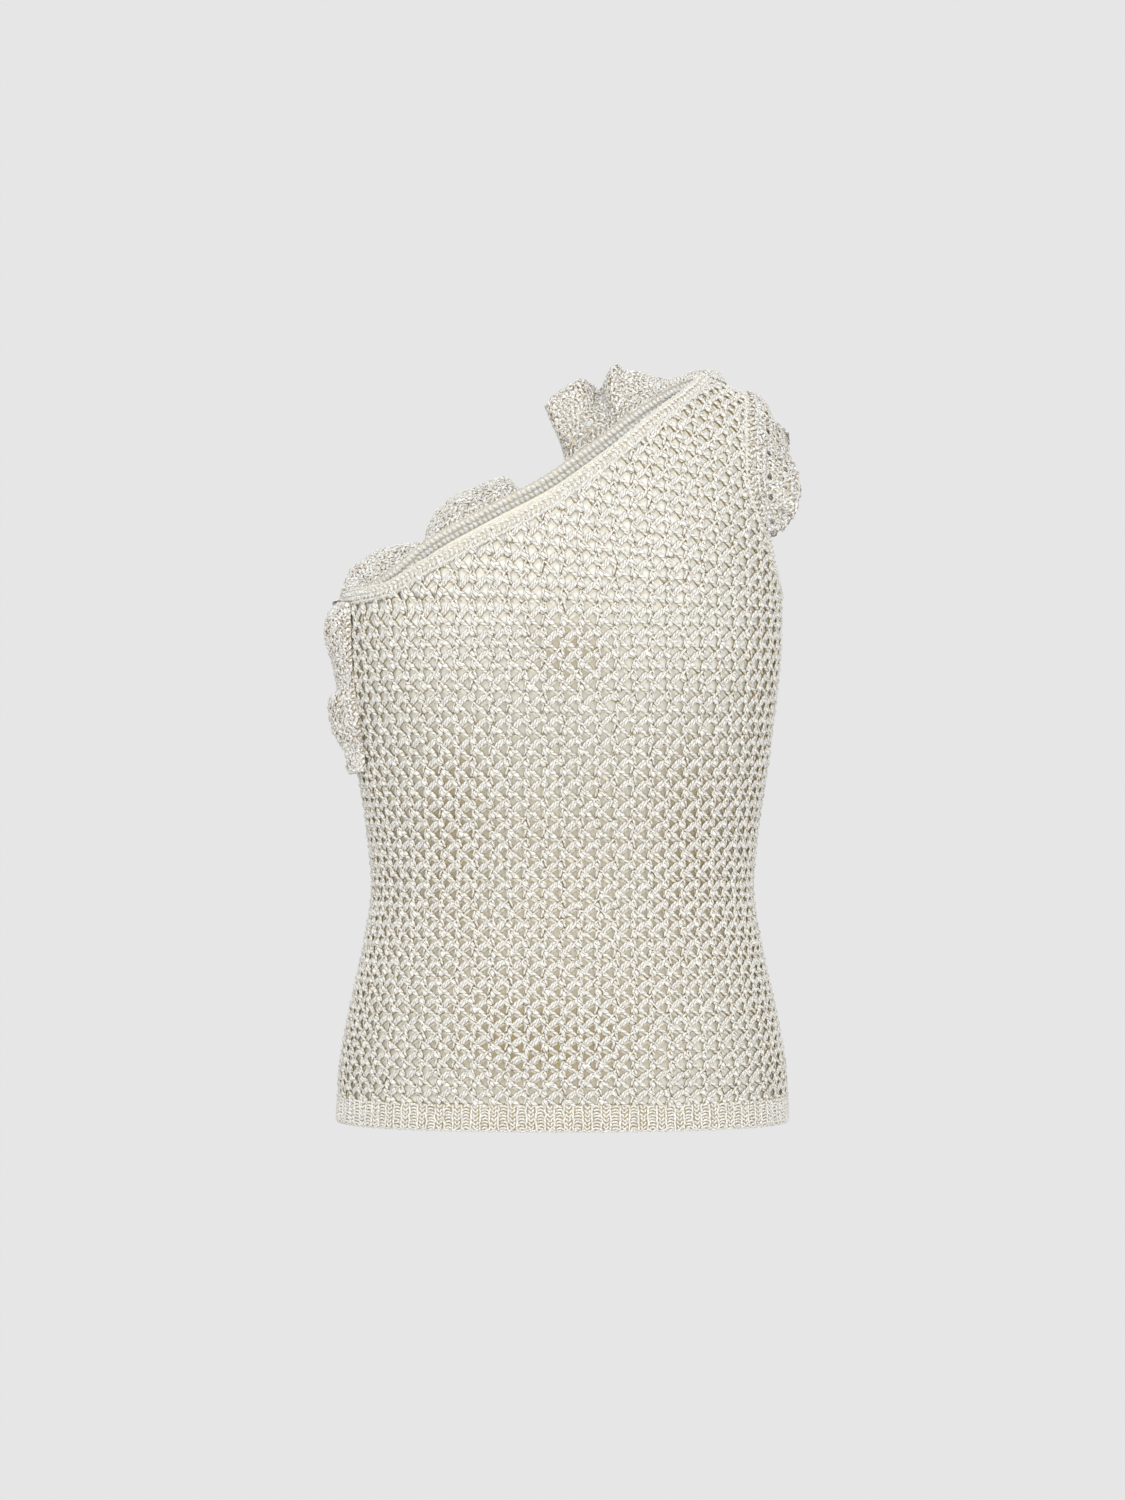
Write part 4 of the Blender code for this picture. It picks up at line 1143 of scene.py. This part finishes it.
ARM_FOLDS = (
    Fold(0, 10, 30, 50, -4),
    Fold(8, 15, 26, 46, -8),
    Fold(24, 29, 14, 34, -14),
    Fold(42, 41, 6, 22, -8),
    Fold(60, 42, 14, 2, -2),
    Fold(80, 42, 12, -26),
    Fold(100, 40, 12, -34),
    Fold(120, 33, 8, -64),
    Fold(140, 26, 8, -64),
    Fold(160, 33, 8, -64),
    Fold(180, 40, 16, -26),
    Fold(200, 42, 10, -30),
    Fold(220, 42, 18, 12, 2),
    Fold(240, 41, 6, 16, 8),
    Fold(260, 29, 20, 40, 14),
    Fold(276, 15, 26, 46, 8),
    Fold(284, 10, 30, 50, 4),
)


def smooth(values, travelled, reach):
    """Rounds a line off by averaging it over a short reach."""
    out = np.empty_like(values)
    for i, place in enumerate(travelled):
        width = min(reach, place - travelled[0], travelled[-1] - place) + 1e-6
        weight = np.clip(1 - np.abs(travelled - place) / width, 0, None)
        out[i] = (weight[:, None] * values).sum(0) / weight.sum()
    return out


def read_line(at, travelled, vectors):
    """Reads a line's points or directions at any lengths along it."""
    return np.stack([np.interp(at, travelled, vectors[:, i]) for i in range(3)], 1)


def ruffle_line(points, away, carrier_wall, sign):
    """The line a ruffle is sewn on, with its directions: along, out of the cloth, off it.

    points lie in the middle of the cloth that carries the ruffle, whose wall is so thick, and
    away points out of it. The sign tells on which side of the line the ruffle lies.
    """
    points = points + (carrier_wall / 2 + SEAM_GAP + RUFFLE_WALL / 2) * away
    travelled = lengths_along(points)
    even = np.linspace(0, travelled[-1], LINE_POINTS)
    points = smooth(read_line(even, travelled, points), even, LINE_EASE)
    away = unit(smooth(read_line(even, travelled, away), even, LINE_EASE))
    travelled = lengths_along(points)
    along = unit(np.gradient(points, travelled, axis=0))
    off = unit(np.cross(away, along)) * sign
    return travelled, points, along, away, off


class RuffleForm:
    """Places on a ruffle, by millimetres along its sewn line and the share of its reach."""

    def __init__(self, line, folds):
        travelled, points, along, away, off = line
        self.length = travelled[-1]
        self.places = np.linspace(0, self.length, int(self.length / FINE_PITCH) + 1)
        keys = [f.place for f in folds]
        self.reach, *bends = (read_table(keys, [getattr(f, column) for f in folds], self.places)
                              for column in ("reach", "root_lean", "rim_lean", "sway"))
        at = [read_line(self.places, travelled, v) for v in (points, along, away, off)]
        self.grid = self.bend(at, self.reach, *bends)
        self.lobes = lengths_along(self.grid[-1]) / LOBE
        notch = 1 - np.abs(np.sin(math.pi * self.lobes)) ** 0.7
        self.reach = self.reach - LOBE_DEPTH * notch * np.clip(self.reach / 25, 0.3, 1)
        self.grid = self.bend(at, self.reach, *bends)
        by_row, by_column = np.gradient(self.grid, axis=(0, 1))
        self.normals = unit(np.cross(by_column, by_row))

    @staticmethod
    def bend(at, reach, root, rim, sway):
        """Rows of points from the sewn line to the rim, each leaning a little more."""
        start, tangent, out, up = at
        grid, place = [start], start
        for row in range(FINE_ROWS):
            lean = np.radians(root + (rim - root) * (row + 0.5) / FINE_ROWS)
            step = up * np.cos(lean)[:, None] + out * np.sin(lean)[:, None]
            place = place + step * (reach / FINE_ROWS)[:, None]
            share = (row + 1) / FINE_ROWS
            grid.append(place + tangent * (sway * share * share)[:, None])
        return np.array(grid)

    def read(self, table, along, share):
        column = np.clip(along / self.length, 0, 1) * (len(self.places) - 1)
        return read_grid(table, np.clip(share, 0, 1) * FINE_ROWS, column)

    def place(self, along, share, out):
        away = unit(self.read(self.normals, along, share))
        points = self.read(self.grid, along, share)
        past = np.clip(share - 1, 0, None) * np.interp(along, self.places, self.reach)
        rim = unit(self.read(self.grid, along, np.ones_like(share))
                   - self.read(self.grid, along, np.full(share.shape, 0.9)))
        return points + rim * past[..., None] + away * out[..., None], away

    def stations(self, share, pitch):
        """Places along the ruffle, an even pitch apart at this share of its reach."""
        fine = np.linspace(0, self.length, 3000)
        travelled = lengths_along(self.read(self.grid, fine, np.full(fine.shape, share)))
        count = max(int(travelled[-1] / pitch), 2)
        return np.interp((np.arange(count) + 0.5) * travelled[-1] / count, travelled, fine)

    def millimetre_share(self, along):
        """The share of the ruffle's reach that one millimetre takes up there."""
        return 1 / np.maximum(np.interp(along, self.places, self.reach), 8)


class Eyelets:
    """The openings of a ruffle of some rows, by their places along it and shares of its reach."""

    def __init__(self, form, rows):
        columns = int(form.length // RUFFLE_STEP)
        places = []
        for row, first in (LOW_EYELETS, HIGH_EYELETS):
            for column in range(first, columns - 1, EYELET_EVERY):
                places.append(((column + 0.5) * form.length / columns, (row % rows + 0.5) / rows))
        self.along, self.share = np.array(places).T
        flat = np.zeros(len(places))
        centres, _ = form.place(self.along, self.share, flat)
        ahead, _ = form.place(self.along + 0.5, self.share, flat)
        above, _ = form.place(self.along, self.share + 0.02, flat)
        self.stretch = np.linalg.norm(ahead - centres, axis=1) / 0.5
        self.rise = np.linalg.norm(above - centres, axis=1) / 0.02

    def open_at(self, along, share):
        """Which places lie in an opening."""
        across = (along[..., None] - self.along) * self.stretch / EYELET_REACH[0]
        up = (share[..., None] - self.share) * self.rise / EYELET_REACH[1]
        return (across ** 2 + up ** 2 < 1).any(-1)

    def rings(self, form):
        """A ring of yarn round every opening, on both faces."""
        angle = np.linspace(0, 2 * math.pi, 9)
        across = np.cos(angle) * (EYELET_REACH[0] + RING_GAP)
        up = np.sin(angle) * (EYELET_REACH[1] + RING_GAP)
        along = self.along[:, None] + across / self.stretch[:, None]
        share = self.share[:, None] + up / self.rise[:, None]
        radii = np.full(len(self.along), RING_RADIUS)
        found = []
        for face in (1, -1):
            points, away = form.place(along, share, np.full(along.shape, face * RING_STAND))
            found.append(yarn_tubes(points, away * face, radii, plies=1, edges=0.5))
        return found


def ruffle_posts(form, eyelets):
    """Posts with a loop over each, course on course, on both faces. Short folds have fewer."""
    tall = float(np.max(form.reach))
    courses = max(int(round(tall / POST_ROW)), 2)
    found = []
    for course in range(courses):
        low, high = course / courses, (course + 1) / courses
        at = form.stations((low + high) / 2, POST_PITCH)
        height = np.interp(at, form.places, form.reach) / tall
        at = at[height > rng.uniform(0.0, 0.35, len(at))]
        millimetre = form.millimetre_share(at)[:, None]
        spacing = np.gradient(at) if len(at) > 2 else np.full(len(at), POST_PITCH)
        widening = POST_PITCH / np.maximum(spacing, 0.5)
        for face in (1, -1):
            lean = POST_LEAN if (course % 2) == (face > 0) else -POST_LEAN
            lean = lean + rng.normal(0, LEAN_SCATTER, len(at))
            post = at[:, None] + (lean / widening)[:, None] * np.linspace(-1, 1, 3)
            post_share = np.linspace(low - 0.01, high - 0.01, 3)
            post_share = post_share + rng.normal(0, 0.5, (len(at), 1)) * millimetre
            post_out = face * np.array([-0.2, 0.6, -0.1]) + 0 * post
            reach = (POST_PITCH * LOOP_REACH / widening)[:, None]
            loop = at[:, None] + reach * np.linspace(-1, 1, 4)
            crown = np.array([-0.9, 0.9, 0.9, -0.9]) + rng.normal(0, 0.35, (len(at), 1))
            loop_share = high + crown * millimetre
            loop_out = face * np.array([-0.1, 0.7, 0.7, -0.1]) + 0 * loop
            for along, share, out, radius in ((post, post_share, post_out, POST_RADIUS),
                                              (loop, loop_share, loop_out, LOOP_RADIUS)):
                shut = ~eyelets.open_at(along, share).any(1)
                if shut.any():
                    points, away = form.place(along[shut], share[shut], out[shut])
                    radii = radius * rng.uniform(0.85, 1.1, shut.sum())
                    found.append(yarn_tubes(points, away * face, radii, plies=1,
                                            flanks=(0.38, 0.38), edges=0.95))
    return found


def ruffle_rim(form):
    """Two cords along the rim, one length of each for every lobe."""
    lobes = np.arange(int(form.lobes[-1]))[:, None] + np.linspace(0, 1, 7)
    along = np.interp(lobes, form.lobes, form.places)
    found = []
    for past in RIM_CORDS:
        share = 1 + past * form.millimetre_share(along)
        points, away = form.place(along, share, np.zeros(along.shape))
        found.append(yarn_tubes(points, away, np.full(len(lobes), RIM_RADIUS), lay=0.8,
                                turn=RIM_TURN, edges=0.3, closed=True))
    return found


def ruffle(name, line, folds, rows, yarn):
    """One frill on a line of the piece that carries it: its ground, and the stitches on it."""
    form = RuffleForm(line, folds)
    eyelets = Eyelets(form, rows)
    along, share = np.meshgrid(form.places, np.linspace(0, 1, FINE_ROWS + 1))
    points, _ = form.place(along, share, np.zeros(along.shape))
    faces = grid_faces(*along.shape).reshape(-1, 4)
    middle_along = along.reshape(-1)[faces].mean(1)
    middle_share = share.reshape(-1)[faces].mean(1)
    faces = faces[~eyelets.open_at(middle_along, middle_share)]
    piece = piece_mesh(name + "_cloth", points.reshape(-1, 3), faces)
    parts = ruffle_posts(form, eyelets) + eyelets.rings(form) + ruffle_rim(form)
    stitches = yarn_piece(name + "_stitches", parts, yarn)
    put_on(piece, shaded_ruffle_ground, replaced=name)


# Fluffier yarn with large flecks, and deep painted shade between its small stitches. The
# ground is coloured darker, as painted shade between the stitches.
ruffle_yarn = cotton_yarn("crocheted_cotton_frill", "#f9fbfa", "#634f27", depths=(0.36, 0.95),
                          ply_shade=0.6, fleck_share=2.5, fleck_size=2.1)
# A greyer copy of the frill yarn for the armhole ruffle, as painted shade.
shaded_cap_yarn = cotton_yarn("crocheted_cotton_cap_painted_shade", "#ebedec", "#5c4a26", depths=(0.36, 0.95),
                       ply_shade=0.6, fleck_share=2.5, fleck_size=2.1)
shaded_ruffle_ground = cotton_yarn("crochet_frill_ground_painted_shade", "#e3dbc8", "#8f7e56")

# The neckline ruffle is worked on the front half of the band, from the strap to the underarm.
STRAP_END = 5.0                 # of the band, left bare
UNDERARM_END = 16.0
edge = inset("front", neckline("front"), NECK_BAND_WIDTH / 2)
edge_points, edge_away = torso("front", *edge), outward("front", *edge)
edge_travelled = lengths_along(edge_points)
keep = (edge_travelled > STRAP_END) & (edge_travelled < edge_travelled[-1] - UNDERARM_END)
neck_line = ruffle_line(edge_points[keep], edge_away[keep], BAND_WALL, 1)
ruffle("neck_ruffle", neck_line, NECK_FOLDS, rows=7,
       yarn=ruffle_yarn)

# The side ruffle hangs down the back panel, just in from its left seam.
SIDE_TOP = -165.0
SIDE_FOOT = -293.0
FROM_SEAM = 40.0
heights = np.linspace(SIDE_TOP, SIDE_FOOT, LINE_POINTS)
_, side_lifts = place_of("back", -section_size("half_width", heights), heights)
side_turns = math.pi - (FROM_SEAM / section_size("back", heights)) ** (SECTION_FULLNESS / 2)
side_points = torso("back", side_turns, side_lifts)
side_away = outward("back", side_turns, side_lifts)
side_line = ruffle_line(side_points, side_away, KNIT_WALL, 1)
ruffle("side_ruffle", side_line, SIDE_FOLDS, rows=6,
       yarn=ruffle_yarn)

# The armhole ruffle caps the shoulder, up the back half of the armhole band and down the front.
CAP_FOOT = -112.0
cap_points, cap_away = [], []
for side_name in ("back", "front"):
    edge = inset(side_name, armhole(side_name), ARM_BAND_WIDTH / 2)
    edge_points = torso(side_name, *edge)
    keep = edge_points[:, 2] > CAP_FOOT
    order = slice(None, None, -1) if side_name == "back" else slice(1, None)
    cap_points.append(edge_points[keep][order])
    cap_away.append(outward(side_name, edge[0], edge[1])[keep][order])
cap_points, cap_away = np.concatenate(cap_points), np.concatenate(cap_away)
cap_line = ruffle_line(cap_points, cap_away, BAND_WALL, -1)
ruffle("armhole_ruffle", cap_line, ARM_FOLDS, rows=6,
       yarn=shaded_cap_yarn)

# ---- Studio ------------------------------------------------------------------------------------
# Plain pale floor and backdrop, soft light from both sides and above, and the camera level
# behind the top.
FLOOR_HEIGHT = -1300.0
FLOOR_RADIUS = 1500.0
FLOOR_RINGS = 6
FLOOR_SPOKES = 48
CAMERA_LENS = 109.0
CAMERA_PLACE = (BODY_AXIS_X * MM, -3.5, -0.2774)        # metres
spokes = np.linspace(0, 2 * math.pi, FLOOR_SPOKES + 1)
rings = np.linspace(1.0, FLOOR_RADIUS, FLOOR_RINGS)[:, None]
floor_points = np.stack([BODY_AXIS_X + rings * np.cos(spokes), rings * np.sin(spokes),
                         np.full((FLOOR_RINGS, len(spokes)), FLOOR_HEIGHT)], -1)
floor_faces = grid_faces(FLOOR_RINGS, len(spokes)).reshape(-1, 4)[:, ::-1]
floor = piece_mesh("floor", floor_points.reshape(-1, 3), floor_faces)
painted = bpy.data.materials.new("painted_studio_floor")
painted.use_nodes = True
painted_shader = painted.node_tree.nodes["Principled BSDF"]
painted_shader.inputs["Base Color"].default_value = linear("#b0b0b0")
painted_shader.inputs["Roughness"].default_value = 0.9
floor.data.materials.append(painted)

camera_data = bpy.data.cameras.new("camera")
camera_data.lens = CAMERA_LENS
camera_data.sensor_width = 36.0
camera_data.clip_end = 100.0
camera = bpy.data.objects.new("camera", camera_data)
camera.location = CAMERA_PLACE
camera.rotation_euler = (math.radians(90), 0, 0)
bpy.context.scene.collection.objects.link(camera)
bpy.context.scene.camera = camera

world = bpy.data.worlds.new("studio")
world.use_nodes = True
world.node_tree.nodes["Background"].inputs["Color"].default_value = linear("#e6e6e6")
world.node_tree.nodes["Background"].inputs["Strength"].default_value = 1.0
bpy.context.scene.world = world
bpy.context.scene.view_settings.view_transform = "Standard"

# Lamps all round, in metres and watts. Those behind the top are the ones the camera sees it by.
Lamp = namedtuple("Lamp", "name place size power")
LAMPS = (
    Lamp("back_left", (-1.9, -1.9, 0.6), 1.6, 19.0),
    Lamp("back_right", (1.7, -1.9, 0.3), 1.8, 17.0),
    Lamp("back_middle", (-0.1, -3.3, -0.2), 1.4, 76.0),
    Lamp("back_above", (-0.1, -1.7, 1.7), 1.8, 27.0),
    Lamp("front_above", (-0.1, 1.7, 1.7), 1.8, 22.0),
    Lamp("front_left", (1.8, 1.9, 0.6), 1.6, 19.0),
    Lamp("front_right", (-1.8, 1.9, 0.3), 1.8, 17.0),
    Lamp("front_middle", (-0.1, 3.3, -0.15), 1.4, 70.0),
)
middle = np.array([BODY_AXIS_X * MM, 0.0, -0.28])
for lamp in LAMPS:
    light_data = bpy.data.lights.new(lamp.name, "AREA")
    light_data.size = lamp.size
    light_data.energy = lamp.power
    light_data.color = linear("#fafcff")[:3]
    light = bpy.data.objects.new(lamp.name, light_data)
    light.location = lamp.place
    to_top = middle - np.array(lamp.place)
    yaw = math.atan2(to_top[1], to_top[0])
    pitch_down = math.atan2(to_top[2], math.hypot(to_top[0], to_top[1]))
    light.rotation_euler = (math.pi / 2 + pitch_down, 0, yaw - math.pi / 2)
    bpy.context.scene.collection.objects.link(light)
